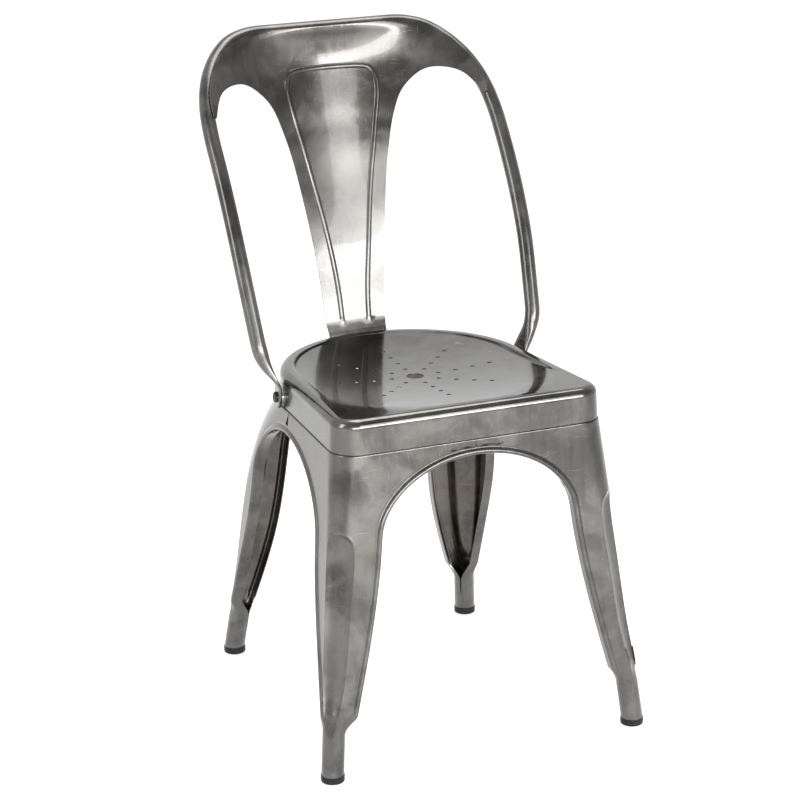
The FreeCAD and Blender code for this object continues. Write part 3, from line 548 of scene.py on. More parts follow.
def leg_grid(front):
    """Rows of points of one right leg, from the cap up to the ring inside the skirt."""
    corner = Corner(front)
    flute = Flute(corner)
    rise_rows = 300
    middle_v = -SPLIT_Y if front else SPLIT_Y
    end_arch = arch_points(corner, "x", 0.0, *END_ARCH[front])
    side_arch = arch_points(corner, "v", middle_v, *SIDE_ARCH[front])
    end_edge, end_in = arch_rows(end_arch, 0.0, rise_rows)
    side_edge, side_in = arch_rows(side_arch, middle_v, rise_rows)
    steps = np.array(FLANGE_STEPS)
    end_part = 34
    flute_part = 40

    def wall(edge, inward, locate):
        """Flange and bead columns beside one arch."""
        columns = []
        for distance, height in steps:
            flat = edge + inward * distance
            q = locate(flat[:, 0], flat[:, 1])
            base, out = corner.place(q, flat[:, 1])
            columns.append(np.concatenate([base + out * height, flat[:, 1:]], axis=-1))
        return np.stack(columns, axis=1), q, flat[:, 1]

    end_columns, end_q, end_z = wall(end_edge, end_in, corner.q_at_x)
    side_columns, side_q, side_z = wall(side_edge, side_in, corner.q_at_v)

    def middle(end_q, end_z, side_q, side_z):
        """Columns between the two beads: out to the flute, across it and on."""
        shares = np.linspace(0, 1, 2 * end_part + flute_part + 1)
        mid_z = (end_z + side_z) / 2
        left, right = flute_edges(corner, flute, mid_z)
        first = np.linspace(0, 1, end_part, endpoint=False)
        across = np.linspace(0, 1, flute_part, endpoint=False)
        last = np.linspace(0, 1, end_part + 1)
        q = np.concatenate([
            end_q[:, None] + (-left - end_q)[:, None] * first,
            -left[:, None] + (left + right)[:, None] * across,
            right[:, None] + (side_q - right)[:, None] * last], axis=1)
        reach = (q - end_q[:, None]) / (side_q - end_q)[:, None]
        edge_z = end_z[:, None] + (side_z - end_z)[:, None] * smooth(reach)
        rising = np.maximum(np.diff(mid_z), LEAST_RISE)
        own_z = mid_z[0] + np.r_[0, np.cumsum(rising)]
        apart = smooth(np.minimum(reach, 1 - reach) / 0.22)
        z = edge_z * (1 - apart) + own_z[:, None] * apart
        flat = corner.place(q, z)[0]
        points = np.concatenate([flat, z[..., None]], axis=-1)
        return flute.press(points)[0][:, 1:-1]

    rows = np.concatenate([end_columns, middle(end_q, end_z, side_q, side_z), side_columns[:, ::-1]], axis=1)

    # the neck, where the open sheet closes into the tube
    sheet = rows[0]
    span = lengths(sheet)
    diagonal = int(np.argmin(np.abs(np.arctan2(sheet[:, 1] - corner.circle(NECK_TOP)[1],
                                               sheet[:, 0] - corner.circle(NECK_TOP)[0]) - math.pi / 4)))
    signed = span - span[diagonal]
    turn = np.where(signed < 0, signed / -signed[0], signed / signed[-1])
    foot_x, foot_v, lean_x, lean_v = FRONT_FOOT if front else REAR_FOOT
    neck = []
    heights = np.r_[np.linspace(CAP_HEIGHT, NECK_LOW, 26)[:-1], np.linspace(NECK_LOW, NECK_TOP, 34)[:-1]]
    for z in heights:
        slit = 0.8 * smooth((z - 34.0) / 5.0) + 0.02
        angle = math.pi / 4 - turn * (math.pi - slit / TUBE_R)
        round_tube = np.stack([foot_x - lean_x * z + TUBE_R * np.cos(angle),
                               foot_v - lean_v * z + TUBE_R * np.sin(angle), np.full(len(angle), z)], axis=-1)
        drift = corner.place(0.0, z)[0] - corner.place(0.0, NECK_TOP)[0]
        open_sheet = sheet + [drift[0], drift[1], z - NECK_TOP]
        share = smooth((NECK_TOP - z) / (NECK_TOP - NECK_LOW)) ** 0.8
        neck.append(open_sheet * (1 - share) + round_tube * share)
    low = np.stack(neck)

    # above the arches, up to the ledge and the ring that stands inside the skirt
    top_rows = 16
    inner = len(steps) - 1
    crown_row = rows[-1, inner:rows.shape[1] - inner]
    upper = []
    start_q = corner.q_at_x(np.zeros(1), np.array([LEDGE]))[0]
    stop_q = corner.q_at_v(np.array([float(middle_v)]), np.array([LEDGE]))[0]
    span_top = lengths(crown_row)
    share_top = span_top / span_top[-1]
    q = start_q + (stop_q - start_q) * share_top
    for step in range(1, top_rows + 1):
        rise = step / top_rows
        z = crown_row[:, 2] * (1 - rise) + (LEDGE - 1.2) * rise
        upper.append(np.concatenate([corner.place(q, z)[0], z[:, None]], axis=-1))
    for grow, z in RING_STEPS:
        level = np.full(len(q), z)
        flat = corner.place(q, np.minimum(level, LEDGE), grow)[0]
        upper.append(np.concatenate([flat, level[:, None]], axis=-1))
    return np.concatenate([low, rows]), np.stack(upper), inner


def make_leg(front, sign):
    lower, upper, inner = leg_grid(front)
    rows, columns = lower.shape[:2]
    wide = upper.shape[1]
    points = np.concatenate([lower.reshape(-1, 3), upper.reshape(-1, 3)])
    y = -points[:, 1] if front else points[:, 1]
    points = np.stack([sign * points[:, 0], y, points[:, 2]], axis=-1)
    faces = grid_faces(rows, columns)
    base = rows * columns
    crown = (rows - 1) * columns + inner
    for column in range(wide - 1):
        faces.append((crown + column, crown + column + 1, base + column + 1, base + column))
    faces += grid_faces(upper.shape[0], wide, start=base)
    end = "front" if front else "rear"
    side = "right" if sign > 0 else "left"
    piece = new_piece("%s_%s_leg_sheet" % (end, side), points, faces, node="%s_%s_leg" % (end, side))
    with edited(piece) as work:
        bmesh.ops.remove_doubles(work, verts=work.verts, dist=5e-5)
        if (sign > 0) != front:
            bmesh.ops.reverse_faces(work, faces=work.faces)
    solidify(piece, LEG_SHEET, -1.0)
    return bake(piece)


# Back hoop: one tube from blade to blade

def side_screw_frame():
    """Origin on the skirt at the right side screw, with its across, up and out directions."""
    drop = (SEAT_TOP - SIDE_SCREW_Z) / (SEAT_TOP - SEAM)
    radius = SEAT_REAR_R + SKIRT_FLARE * drop
    turn = math.asin((SIDE_SCREW_Y - SEAT_REAR_Y) / radius)
    out = np.array([math.cos(turn), math.sin(turn), SKIRT_FLARE / (SEAT_TOP - SEAM)])
    out /= np.linalg.norm(out)
    across = np.cross([0, 0, 1], out)
    across /= np.linalg.norm(across)
    up = np.cross(out, across)
    origin = np.array([SEAT_REAR_X + radius * math.cos(turn), SIDE_SCREW_Y, SIDE_SCREW_Z])
    return origin, across, up, out


def rounded_line(points, limits, step=1.2):
    """Points along straight runs joined by arcs."""
    points = [np.asarray(point, float) for point in points]
    line = [points[0]]
    for before, corner, after, limit in zip(points, points[1:], points[2:], limits):
        back = before - corner
        ahead = after - corner
        trim = 0.45 * min(np.linalg.norm(back), np.linalg.norm(ahead))
        back /= np.linalg.norm(back)
        ahead /= np.linalg.norm(ahead)
        half = math.acos(np.clip(back @ ahead, -1, 1)) / 2
        if half > math.radians(89.9):
            line.append(corner)
            continue
        radius = min(trim * math.tan(half), limit)
        trim = radius / math.tan(half)
        centre = corner + (back + ahead) / np.linalg.norm(back + ahead) * radius / math.sin(half)
        first = corner + back * trim - centre
        last = corner + ahead * trim - centre
        swing = math.acos(np.clip(first @ last / radius ** 2, -1, 1))
        count = max(int(swing * radius / step), 6)
        for share in np.linspace(0, 1, count):
            part = math.sin((1 - share) * swing) * first + math.sin(share * swing) * last
            line.append(centre + part / math.sin(swing))
    line.append(points[-1])
    return np.array(line)


# Hoop's arm: (across from its widest place, ahead of its back, below its top)
HOOP_ARM = [(-93.5, 0.0, 0.0), (-62.0, 9.5, 6.5), (-37.3, 27.4, 23.1), (-20.0, 46.5, 41.9),
            (-9.0, 65.6, 62.4), (-2.4, 85.8, 85.5), (0.3, 108.1, 112.5), (0.1, 139.8, 154.9),
            (-0.3, 172.5, 205.8), (-1.8, 203.3, 266.2), (-6.5, 230.5, 338.5)]
# Blade, seen from the side screw: (across, up, out)
BLADE_PATH = [(0.0, 43.0, 24.0), (0.0, 15.0, 5.6), (0.0, -14.5, 5.6)]


def make_hoop():
    origin, across, up, out = side_screw_frame()
    arm = [np.array([HOOP_HALF + a, HOOP_BACK - b, HOOP_TOP - c]) for a, b, c in HOOP_ARM]
    ahead = arm[-1] - arm[-2]
    tube_end = arm[-1]
    arm.append(tube_end + ahead / np.linalg.norm(ahead) * 27.0)
    blade = [origin + across * a + up * b + out * c for a, b, c in BLADE_PATH]
    limits = [math.inf] * (len(arm) - 1) + [40.0, 14.0, 14.0]
    line = rounded_line([np.array([0.0, HOOP_BACK, HOOP_TOP])] + arm + blade, limits)
    length = lengths(line)
    tip = np.array([5, 4, 3, 2.2, 1.5, 1, 0.6, 0.3, 0.1, 0.02])
    where = np.r_[np.linspace(0, length[-1] - 6, 460), length[-1] - tip]
    path = at_lengths(line, length, where)
    for turn in range(2):
        path[1:-12] = (path[:-13] + path[1:-12] * 2 + path[2:-11]) / 4
    first = int(np.argmax(where > length[-1] - EASE_FROM))
    last = int(np.argmax(where > length[-1] - EASE_TO))
    for turn in range(EASE_PASSES):
        path[first:last] = (path[first - 1:last - 1] + path[first:last] * 2 + path[first + 1:last + 1]) / 4
    along = unit(np.gradient(path, axis=0))
    side = unit(across - along * (along @ across)[:, None])
    face = np.cross(along, side)
    left = length[-1] - where
    press = smooth((WIDEN_FROM - left) / WIDEN_OVER)
    flat = smooth((FLATTEN_FROM - left) / FLATTEN_OVER)
    round_end = np.sqrt(np.clip(1 - ((END_WIDTH / 2 - left) / (END_WIDTH / 2)) ** 2, 0, 1))
    round_end = np.where(left < END_WIDTH / 2, round_end, 1.0)
    wide = (HOOP_R + (END_WIDTH / 2 - HOOP_R) * press) * round_end
    thick = HOOP_R + (END_THICK / 2 - HOOP_R) * flat
    power = 2.0 / (2.0 + 5.0 * flat ** 2)
    segments = 56
    angles = np.linspace(0, 2 * math.pi, segments, endpoint=False)
    cosine = np.cos(angles)[None]
    sine = np.sin(angles)[None]
    shape_a = np.sign(cosine) * np.abs(cosine) ** power[:, None]
    shape_b = np.sign(sine) * np.abs(sine) ** power[:, None]
    rows = (path[:, None] + side[:, None] * (shape_a * wide[:, None])[..., None]
            + face[:, None] * (shape_b * thick[:, None])[..., None])
    right = rows.reshape(-1, 3)
    count = len(path)
    mirror = right * [-1, 1, 1]
    points = np.vstack([right, mirror, path[-1:], path[-1:] * [-1, 1, 1]])
    faces = grid_faces(count, segments, close_columns=True)
    other = grid_faces(count, segments, close_columns=True, start=len(right))
    other = [tuple(reversed(face)) for face in other]
    last = (count - 1) * segments
    for column in range(segments):
        ahead_column = (column + 1) % segments
        faces.append((last + column, last + ahead_column, 2 * len(right)))
        other.append((len(right) + last + ahead_column, len(right) + last + column, 2 * len(right) + 1))
    piece = new_piece("hoop_tube", points, faces + other, node="back_hoop")
    with edited(piece) as work:
        bmesh.ops.remove_doubles(work, verts=work.verts, dist=1e-5)
        bmesh.ops.recalc_face_normals(work, faces=work.faces)
    return bake(piece, 50.0)


# Back plate: points on its outline, beside its bead and in between, joined into one sheet

# Levels: (below the hoop's top, behind the tube's front, radius of the sideways curl)
PLATE_LEVELS = [(-7, 0.2, 5000), (0, -0.1, 1237), (8, 2.7, 607), (20, 5.0, 416), (36, 5.2, 341),
                (54, 2.8, 304), (64, 0, 293), (84, -6.2, 274), (103, -11.7, 255), (124, -16.6, 244),
                (149, -24.2, 243), (188, -33.9, 245), (237, -48.2, 336), (266, -56.7, 600),
                (303, -65, 1000), (346, -72.4, 4000), (385, -79.4, 9000)]
# Outline: (across from the hoop's widest place, below its top)
PLATE_OUTER = [(-97.5, -4), (-78.4, 0.2), (-53.4, 9.4), (-31.5, 25), (-17.5, 42.7), (-9.0, 60), (-7.2, 74),
               (-7.4, 85)]
PLATE_INNER = [(-11.5, 88), (-16, 81), (-29.5, 64), (-49.5, 57.5), (-70.5, 59), (-94.5, 74), (-107.8, 89),
               (-118.1, 111), (-130.5, 154), (-145, 239), (-152.9, 303), (-158.9, 383)]
BEAD_LINE = [(0, 51.7), (25, 51.9), (45, 52.4), (56.5, 55.5), (62, 64), (63.8, 82), (61, 100), (54, 135),
             (45, 180), (34.5, 238), (25.6, 301), (20.6, 350), (19.3, 381)]
BEAD_HALF = 3.8
BEAD_HEIGHT = 2.2
PLATE_BEND = 465.0
FLANGE_LOW = 416.0
FLANGE_HALF = 41.5


def plate_face(x, z):
    """The sheet's front face: y at a place across the chair and a height."""
    levels = np.array(PLATE_LEVELS)
    below = HOOP_TOP - z
    behind = cubic(levels[:, 0], levels[:, 1], np.minimum(below, 383.0))
    bend = cubic(levels[:, 0], 1.0 / levels[:, 2], np.minimum(below, 383.0))
    bend = np.maximum(bend, 1e-6)
    half_chord = np.minimum(np.abs(x) * bend, 0.98)
    drop = (1 - np.sqrt(1 - half_chord ** 2)) / bend
    curved = HOOP_BACK - HOOP_R + behind - WELD_GAP - PLATE_SHEET - drop
    heights = np.arange(FLANGE_LOW - 20, PLATE_BEND + 30, 0.5)
    rear = SEAT_REAR_Y + SEAT_REAR_R
    knee = SEAT_TOP - 9.0
    skirt = rear + SKIRT_FLARE * (SEAT_TOP - heights) / (SEAT_TOP - SEAM) + 0.1
    skirt_knee = rear + SKIRT_FLARE * (SEAT_TOP - knee) / (SEAT_TOP - SEAM) + 0.1
    above = 200.0 + (heights - PLATE_BEND) * 0.16
    middle = skirt_knee + (heights - knee) / (PLATE_BEND - knee) * (200.0 - skirt_knee)
    profile = np.where(heights < knee, skirt, np.where(heights < PLATE_BEND, middle, above))
    kernel = np.hanning(19) / np.hanning(19).sum()
    profile[12:-12] = np.convolve(profile, kernel, mode="same")[12:-12]
    low = np.interp(z, heights, profile)
    share = smooth((z - PLATE_BEND - 1.0) / 9.0)
    return low * (1 - share) + curved * share


def inside_outline(points, outline):
    """Which points are inside a closed outline."""
    x = points[:, 0][:, None]
    z = points[:, 1][:, None]
    x1, z1 = outline[:, 0][None], outline[:, 1][None]
    x2, z2 = np.roll(outline[:, 0], -1)[None], np.roll(outline[:, 1], -1)[None]
    rise = np.where(np.abs(z2 - z1) < 1e-9, 1e-9, z2 - z1)
    crossing = ((z1 > z) != (z2 > z)) & (x < (x2 - x1) * (z - z1) / rise + x1)
    return crossing.sum(axis=1) % 2 == 1


def distance_to(points, line):
    """Distance from each point to the nearest vertex of a finely divided line."""
    gap = np.full(len(points), 1e9)
    for start in range(0, len(line), 200):
        part = line[start:start + 200]
        away = np.linalg.norm(points[:, None] - part[None], axis=2).min(axis=1)
        gap = np.minimum(gap, away)
    return gap


def bead_curve():
    right = [(x, HOOP_TOP - below) for x, below in BEAD_LINE]
    return [(-x, z) for x, z in right[:0:-1]] + right


def make_plate():
    outer, inner = (
        along_curve([(HOOP_HALF + x, HOOP_TOP - below) for x, below in line], np.linspace(0, 1, count))
        for line, count in ((PLATE_OUTER, 70), (PLATE_INNER, 210)))
    top = np.column_stack([np.linspace(0, outer[0, 0], 44, endpoint=False), np.full(44, outer[0, 1])])
    lug = np.linspace(outer[-1], inner[0], 6)[1:-1]
    heights = np.linspace(inner[-1, 1], FLANGE_LOW, 26)[1:]
    width = FLANGE_HALF + (inner[-1, 0] - FLANGE_HALF) * smooth((heights - 452) / 12)
    sides = np.column_stack([width, heights])
    foot = np.column_stack([np.linspace(FLANGE_HALF, 0, 20)[1:], np.full(19, FLANGE_LOW)])
    right = np.vstack([top, outer, lug, inner, sides, foot])
    outline = np.vstack([right[:-1], [(0, FLANGE_LOW)], (right[1:-1] * [-1, 1])[::-1]])
    bead = along_curve(bead_curve(), np.linspace(0, 1, 460))
    forward = unit(np.gradient(bead, axis=0))
    sideways = np.column_stack([-forward[:, 1], forward[:, 0]])
    rails = [0.0, 0.8, 1.6, 2.3, 2.9, 3.4, 3.8, 4.2, 5.0]
    sides_of = [(offset, way) for offset in rails for way in ((1,) if offset == 0 else (1, -1))]
    band = np.vstack([bead[::2] + sideways[::2] * offset * way for offset, way in sides_of])
    across, up = np.meshgrid(np.arange(-206, 206.1, 4.0), np.arange(FLANGE_LOW + 2, HOOP_TOP + 6, 4.0))
    up[:, 1::2] += 2.0
    field = np.column_stack([across.ravel(), up.ravel()])
    field = field[inside_outline(field, outline)]
    field = field[distance_to(field, outline) > 3.0]
    field = field[distance_to(field, bead) > 6.6]
    band = band[inside_outline(band, outline)]
    band = band[distance_to(band, outline) > 1.2]
    rim = outline_inset(outline, 1.6)
    rim = rim[distance_to(rim, bead) > 5.2]
    points = np.vstack([outline, band, field, rim])
    edges = [(i, (i + 1) % len(outline)) for i in range(len(outline))]
    done = geometry.delaunay_2d_cdt([Vector(point) for point in points], edges, [], 1, 1e-4)
    flat = np.array([tuple(point) for point in done[0]])
    faces = [tuple(face) for face in done[2]]
    away = distance_to(flat, bead)
    past_end = smooth((flat[:, 1] - (PLATE_BEND + 1.0)) / 2.5)
    raise_by = BEAD_HEIGHT * np.clip(1 - (away / BEAD_HALF) ** 2, 0, 1) ** 0.8 * past_end
    y = plate_face(flat[:, 0], flat[:, 1]) - raise_by
    placed = np.column_stack([flat[:, 0], y, flat[:, 1]])
    piece = new_piece("back_plate_sheet", placed, faces, node="back_plate")
    with edited(piece) as work:
        bmesh.ops.recalc_face_normals(work, faces=work.faces)
        if sum(face.normal.y for face in work.faces) > 0:
            bmesh.ops.reverse_faces(work, faces=work.faces)
    solidify(piece, PLATE_SHEET, -1.0)
    return bake(piece)


def outline_inset(outline, inset):
    ahead = np.roll(outline, -1, axis=0)
    forward = unit(ahead - np.roll(outline, 1, axis=0))
    sideways = np.column_stack([-forward[:, 1], forward[:, 0]])
    area = 0.5 * np.sum(outline[:, 0] * ahead[:, 1] - ahead[:, 0] * outline[:, 1])
    moved = outline + sideways * inset * np.sign(area)
    moved = moved[inside_outline(moved, outline)]
    return moved[distance_to(moved, outline) > inset * 0.8]


# Materials

class Nodes:
    """Short calls for the nodes of a material or a world."""

    def __init__(self, owner):
        self.owner = owner
        owner.use_nodes = True
        self.tree = owner.node_tree
        self.tree.nodes.clear()

    def add(self, kind, **settings):
        node = self.tree.nodes.new(kind)
        for key, value in settings.items():
            setattr(node, key, value)
        return node

    def link(self, source, target):
        self.tree.links.new(source, target)

    def value(self, node, name, value):
        if isinstance(value, bpy.types.NodeSocket):
            self.link(value, node.inputs[name])
        else:
            node.inputs[name].default_value = value

    def spot(self, output="Object"):
        return self.add("ShaderNodeTexCoord").outputs[output]

    def parts(self, vector):
        node = self.add("ShaderNodeSeparateXYZ")
        self.link(vector, node.inputs["Vector"])
        return node.outputs

    def noise(self, vector, scale, detail=4.0, rough=0.5, distortion=0.0):
        node = self.add("ShaderNodeTexNoise")
        self.link(vector, node.inputs["Vector"])
        settings = {"Scale": scale, "Detail": detail, "Roughness": rough, "Distortion": distortion}
        for name, value in settings.items():
            node.inputs[name].default_value = value
        return node.outputs["Fac"]

    def stretch(self, vector, scale, turn=(0, 0, 0)):
        node = self.add("ShaderNodeMapping")
        self.link(vector, node.inputs["Vector"])
        node.inputs["Scale"].default_value = scale
        node.inputs["Rotation"].default_value = turn
        return node.outputs["Vector"]

    def span(self, source, low, high, to_low=0.0, to_high=1.0):
        node = self.add("ShaderNodeMapRange", interpolation_type="SMOOTHSTEP")
        self.link(source, node.inputs["Value"])
        for name, value in (("From Min", low), ("From Max", high), ("To Min", to_low), ("To Max", to_high)):
            node.inputs[name].default_value = value
        return node.outputs["Result"]

    def sum(self, first, second, operation="ADD"):
        node = self.add("ShaderNodeMath", operation=operation)
        self.value(node, 0, first)
        self.value(node, 1, second)
        return node.outputs["Value"]

    def mix(self, share, first, second):
        node = self.add("ShaderNodeMix", data_type="RGBA")
        self.value(node, 0, share)
        for index, item in ((6, first), (7, second)):
            self.value(node, index, item if isinstance(item, bpy.types.NodeSocket) else (*item, 1.0))
        return node.outputs[2]

    def bump(self, height, distance, strength=1.0, below=None):
        node = self.add("ShaderNodeBump")
        self.link(height, node.inputs["Height"])
        node.inputs["Distance"].default_value = distance
        node.inputs["Strength"].default_value = strength
        if below:
            self.link(below, node.inputs["Normal"])
        return node.outputs["Normal"]

    def finish(self, color, metallic, roughness, normal=None, **more):
        shader = self.add("ShaderNodeBsdfPrincipled")
        self.value(shader, "Base Color", color)
        self.value(shader, "Metallic", metallic)
        self.value(shader, "Roughness", roughness)
        if normal:
            self.link(normal, shader.inputs["Normal"])
        for name, value in more.items():
            shader.inputs[name.replace("_", " ")].default_value = value
        end = self.add("ShaderNodeOutputMaterial")
        self.link(shader.outputs["BSDF"], end.inputs["Surface"])
        return self.owner


def cloudy_steel(name, dark, pale, stain, rough_low, rough_high, coat):
    """Raw steel sheet under clear lacquer: cloudy heat stains, rolling marks and fine scratches.

    The seat's top is rubbed smoother than the rest.
    """
    n = Nodes(bpy.data.materials.new(name))
    place = n.spot()
    height = n.parts(place)["Z"]
    clouds = n.noise(place, 8.0, 5.0, 0.55, 1.2)
    patches = n.noise(place, 24.0, 6.0, 0.62, 0.8)
    stains = n.span(n.noise(place, 5.0, 3.0, 0.5, 1.6), 0.48, 0.68)
    grain = n.noise(n.stretch(place, (1100, 1100, 60)), 1.0, 3.0, 0.6)
    streaks = n.noise(n.stretch(place, (130, 130, 4)), 1.0, 4.0, 0.6)
    bent = n.add("ShaderNodeVectorMath", operation="ADD")
    n.link(place, bent.inputs[0])
    drift = n.add("ShaderNodeTexNoise")
    n.link(place, drift.inputs["Vector"])
    drift.inputs["Scale"].default_value = 11.0
    shift = n.add("ShaderNodeVectorMath", operation="SCALE")
    n.link(drift.outputs["Color"], shift.inputs[0])
    shift.inputs["Scale"].default_value = 0.05
    n.link(shift.outputs["Vector"], bent.inputs[1])
    loose = bent.outputs["Vector"]
    scratch_a = n.span(n.noise(n.stretch(loose, (22, 30, 1500), (0.5, 0.7, 0.1)), 1.0, 2.0, 0.5), 0.7, 0.76)
    scratch_b = n.span(n.noise(n.stretch(loose, (1300, 26, 34), (0.2, 0.5, 1.1)), 1.0, 2.0, 0.5), 0.7, 0.76)
    scratches = n.sum(scratch_a, scratch_b, "MAXIMUM")
    cloudy = n.span(n.sum(n.sum(clouds, 0.6, "MULTIPLY"), n.sum(patches, 0.4, "MULTIPLY")), 0.36, 0.64)
    color = n.mix(cloudy, dark, pale)
    color = n.mix(n.sum(stains, 0.3, "MULTIPLY"), color, stain)
    color = n.mix(n.sum(n.span(streaks, 0.35, 0.7), 0.2, "MULTIPLY"), color, pale)
    color = n.mix(n.sum(scratches, 0.22, "MULTIPLY"), color, (0.6, 0.59, 0.58))
    rough = n.span(cloudy, 0.0, 1.0, rough_low, rough_high)
    dish = (SEAT_TOP - DISH_DEPTH) / 1000.0
    rim = SEAT_TOP / 1000.0
    top = n.span(height, dish - 0.0015, dish + 0.0005)
    over = n.span(height, rim + 0.0006, rim + 0.0015)
    rubbed = n.sum(top, over, "SUBTRACT")
    rough = n.sum(rough, n.sum(rubbed, -0.13, "MULTIPLY"))
    rough = n.sum(rough, n.sum(grain, 0.05, "MULTIPLY"))
    rough = n.sum(rough, n.sum(scratches, 0.06, "MULTIPLY"))
    wave = n.noise(place, 30.0, 2.0, 0.4)
    normal = n.bump(wave, 0.0003, 0.4)
    normal = n.bump(grain, 0.00002, 0.4, normal)
    normal = n.bump(scratches, 0.00002, 0.3, normal)
    return n.finish(color, 1.0, rough, normal, Coat_Weight=coat, Coat_Roughness=0.04, Coat_IOR=1.5)


def lacquered_steel():
    return cloudy_steel("lacquered_steel", (0.056, 0.054, 0.051), (0.138, 0.134, 0.127), (0.08, 0.066, 0.053),
                        0.2, 0.32, 0.45)


def inner_steel_painted_shade():
    """The sheets' inner sides: a darker, browner copy of the outer steel; its darkness is painted shade on
    the sides that face inward.
    """
    return cloudy_steel("inner_steel_painted_shade", (0.05, 0.043, 0.037), (0.14, 0.125, 0.11), (0.06, 0.04, 0.03),
                        0.26, 0.4, 0.6)


def moulded_plastic():
    """Black moulded foot plastic with a fine sand texture and scuffs near the floor."""
    n = Nodes(bpy.data.materials.new("foot_plastic"))
    place = n.spot()
    height = n.parts(place)["Z"]
    sand = n.noise(place, 1800.0, 3.0, 0.6)
    patch = n.noise(place, 120.0, 4.0, 0.6)
    low = n.span(height, 0.0, 0.006, 1.0, 0.0)
    scuff = n.sum(low, n.span(patch, 0.45, 0.65), "MULTIPLY")
    color = n.mix(patch, (0.008, 0.008, 0.0085), (0.018, 0.018, 0.0185))
    color = n.mix(n.sum(scuff, 0.5, "MULTIPLY"), color, (0.05, 0.049, 0.047))
    rough = n.sum(n.span(patch, 0.3, 0.7, 0.42, 0.56), n.sum(scuff, 0.2, "MULTIPLY"))
    return n.finish(color, 0.0, rough, n.bump(sand, 0.00008, 0.6), Specular_IOR_Level=0.2)


def black_oxide():
    """Blackened screw steel, worn bright where a key or a hand rubs it."""
    n = Nodes(bpy.data.materials.new("dark_screw"))
    place = n.spot()
    patch = n.noise(place, 260.0, 5.0, 0.6)
    fine = n.noise(place, 2600.0, 2.0, 0.6)
    worn = n.span(n.noise(place, 480.0, 4.0, 0.6), 0.6, 0.72)
    color = n.mix(patch, (0.022, 0.022, 0.023), (0.05, 0.049, 0.048))
    color = n.mix(n.sum(worn, 0.4, "MULTIPLY"), color, (0.22, 0.215, 0.21))
    rough = n.span(patch, 0.3, 0.7, 0.28, 0.46)
    return n.finish(color, 0.85, rough, n.bump(fine, 0.00004, 0.5), Coat_Weight=0.2, Coat_Roughness=0.2)


def dull_zinc():
    """Zinc plating with spangle and light white bloom."""
    n = Nodes(bpy.data.materials.new("zinc"))
    place = n.spot()
    spangle = n.add("ShaderNodeTexVoronoi")
    n.link(place, spangle.inputs["Vector"])
    spangle.inputs["Scale"].default_value = 700.0
    bloom = n.span(n.noise(place, 220.0, 5.0, 0.6), 0.5, 0.7)
    color = n.mix(spangle.outputs["Distance"], (0.48, 0.48, 0.47), (0.66, 0.66, 0.64))
    color = n.mix(n.sum(bloom, 0.5, "MULTIPLY"), color, (0.72, 0.72, 0.7))
    rough = n.span(bloom, 0.0, 1.0, 0.3, 0.55)
    return n.finish(color, 0.9, rough, n.bump(spangle.outputs["Distance"], 0.00004, 0.5))


def give(piece, outside, inside):
    """Put materials on a piece; a sheet's inner side keeps its own one."""
    sides = np.zeros(len(piece.data.polygons), np.int32)
    piece.data.polygons.foreach_get("material_index", sides)
    piece.data.materials.clear()
    piece.data.materials.append(outside)
    piece.data.materials.append(inside)
    piece.data.polygons.foreach_set("material_index", np.minimum(sides, 1))


def paint_nodes(materials):
    """The record's slots on the CAD nodes that stay."""
    for part in frame["record"]["subparts"]:
        piece = frame["nodes"][part["node"]]
        for slot in piece.material_slots:
            slot.material = materials[part["material_slot"]]


# Studio

CAMERA_PLACE = (-1.347, -3.168, 1.466)
CAMERA_TURN = -22.95
CAMERA_DOWN = 17.25
CAMERA_ROLL = -0.87
FOCAL_PIXELS = 2763.0
IMAGE_PIXELS = 800
SENSOR = 36.0


def make_camera():
    turn, down, roll = (math.radians(angle) for angle in (CAMERA_TURN, CAMERA_DOWN, CAMERA_ROLL))
    forward = Vector((-math.sin(turn) * math.cos(down), math.cos(turn) * math.cos(down), -math.sin(down)))
    right = Vector((math.cos(turn), math.sin(turn), 0))
    up = right.cross(forward)
    side = right * math.cos(roll) + up * math.sin(roll)
    top = up * math.cos(roll) - right * math.sin(roll)
    camera = show("camera", bpy.data.cameras.new("camera"))
    camera.data.sensor_width = SENSOR
    camera.data.lens = FOCAL_PIXELS / IMAGE_PIXELS * SENSOR
    camera.data.clip_end = 50.0
    matrix = camera.matrix_world.to_3x3()
    for row in range(3):
        matrix[row] = side[row], top[row], -forward[row]
    camera.matrix_world = matrix.to_4x4()
    camera.location = CAMERA_PLACE
    bpy.context.scene.camera = camera


def softbox(name, place, aim, width, height, power):
    lamp = bpy.data.lights.new(name, "AREA")
    lamp.shape = "RECTANGLE"
    lamp.size = width
    lamp.size_y = height
    lamp.energy = power
    thing = show(name, lamp)
    thing.location = place
    thing.rotation_euler = (Vector(aim) - Vector(place)).to_track_quat("-Z", "Y").to_euler()
    thing.visible_camera = False


# Softboxes: name, place, aim, width, height and power
LAMPS = [("key_box", (1.1, -3.2, 1.5), (0, 0.1, 0.7), 1.15, 1.7, 33.0),
         ("low_box", (0.0, -2.5, 0.78), (0, 0.2, 0.8), 2.6, 0.6, 56.0),
         ("left_box", (-3.0, -0.6, 1.9), (0, 0, 0.5), 0.9, 2.2, 34.0),
         ("top_box", (0.6, 0.4, 3.2), (0, 0, 0.4), 1.6, 1.6, 40.0)]
FLOOR_GLOW = 0.45
ROOM_GREY = 0.52


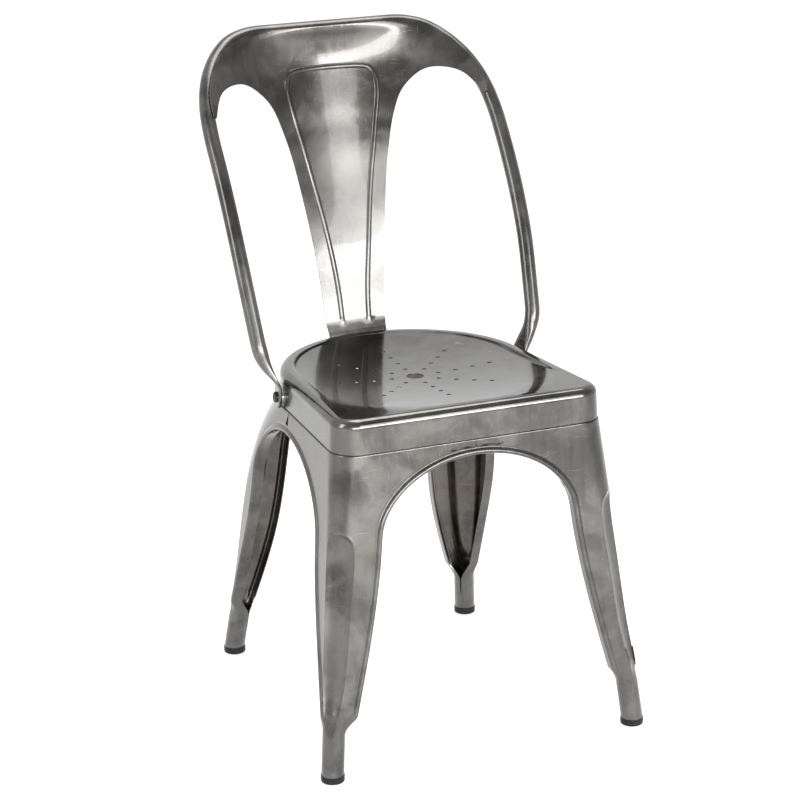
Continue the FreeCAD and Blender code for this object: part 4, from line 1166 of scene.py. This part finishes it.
def make_floor():
    """Pale floor that shows white to the camera and keeps the object's shadow."""
    n = Nodes(bpy.data.materials.new("studio_floor"))
    place = n.spot()
    speck = n.noise(place, 60.0, 5.0, 0.6)
    color = n.mix(speck, (0.8, 0.8, 0.8), (0.84, 0.84, 0.84))
    matte = n.add("ShaderNodeBsdfDiffuse")
    n.link(color, matte.inputs["Color"])
    paths = n.add("ShaderNodeLightPath")
    seen = n.sum(n.sum(paths.outputs["Is Camera Ray"], paths.outputs["Is Glossy Ray"], "MAXIMUM"),
                 paths.outputs["Is Transmission Ray"], "MAXIMUM")
    glow = n.add("ShaderNodeEmission")
    n.link(n.sum(seen, FLOOR_GLOW, "MULTIPLY"), glow.inputs["Strength"])
    both = n.add("ShaderNodeAddShader")
    n.link(matte.outputs["BSDF"], both.inputs[0])
    n.link(glow.outputs["Emission"], both.inputs[1])
    end = n.add("ShaderNodeOutputMaterial")
    n.link(both.outputs["Shader"], end.inputs["Surface"])
    work = bmesh.new()
    bmesh.ops.create_grid(work, x_segments=24, y_segments=24, size=9.0)
    mesh = bpy.data.meshes.new("floor")
    work.to_mesh(mesh)
    work.free()
    floor = show("floor", mesh)
    floor.data.materials.append(n.owner)
    return floor


def make_world():
    """White backdrop all round at eye level and behind, and a dimmer room above and in front."""
    world = bpy.data.worlds.new("studio")
    n = Nodes(world)
    parts = n.parts(n.spot("Generated"))
    raised = n.span(parts["Z"], 0.16, 0.34)
    ahead = n.span(parts["Y"], 0.35, -0.25)
    color = n.mix(n.sum(raised, ahead, "MULTIPLY"), (1, 1, 1), (ROOM_GREY,) * 3)
    sky = n.add("ShaderNodeBackground")
    n.link(color, sky.inputs["Color"])
    n.link(sky.outputs["Background"], n.add("ShaderNodeOutputWorld").inputs["Surface"])
    bpy.context.scene.world = world


# the sheets' inner sides and the holes' walls take a darker copy of the steel: painted shade
inside = inner_steel_painted_shade()
materials = {"lacquered_steel": lacquered_steel(), "foot_plastic": moulded_plastic(),
             "dark_screw": black_oxide(), "zinc": dull_zinc()}
paint_nodes(materials)
pieces = [make_seat_pan(), make_hoop(), make_plate()]
for front in (True, False):
    for sign in (-1, 1):
        pieces.append(make_leg(front, sign))
for piece in pieces:
    give(piece, materials["lacquered_steel"], inside)

make_camera()
make_floor()
make_world()
for lamp in LAMPS:
    softbox(*lamp)
bpy.context.scene.view_settings.view_transform = "Standard"
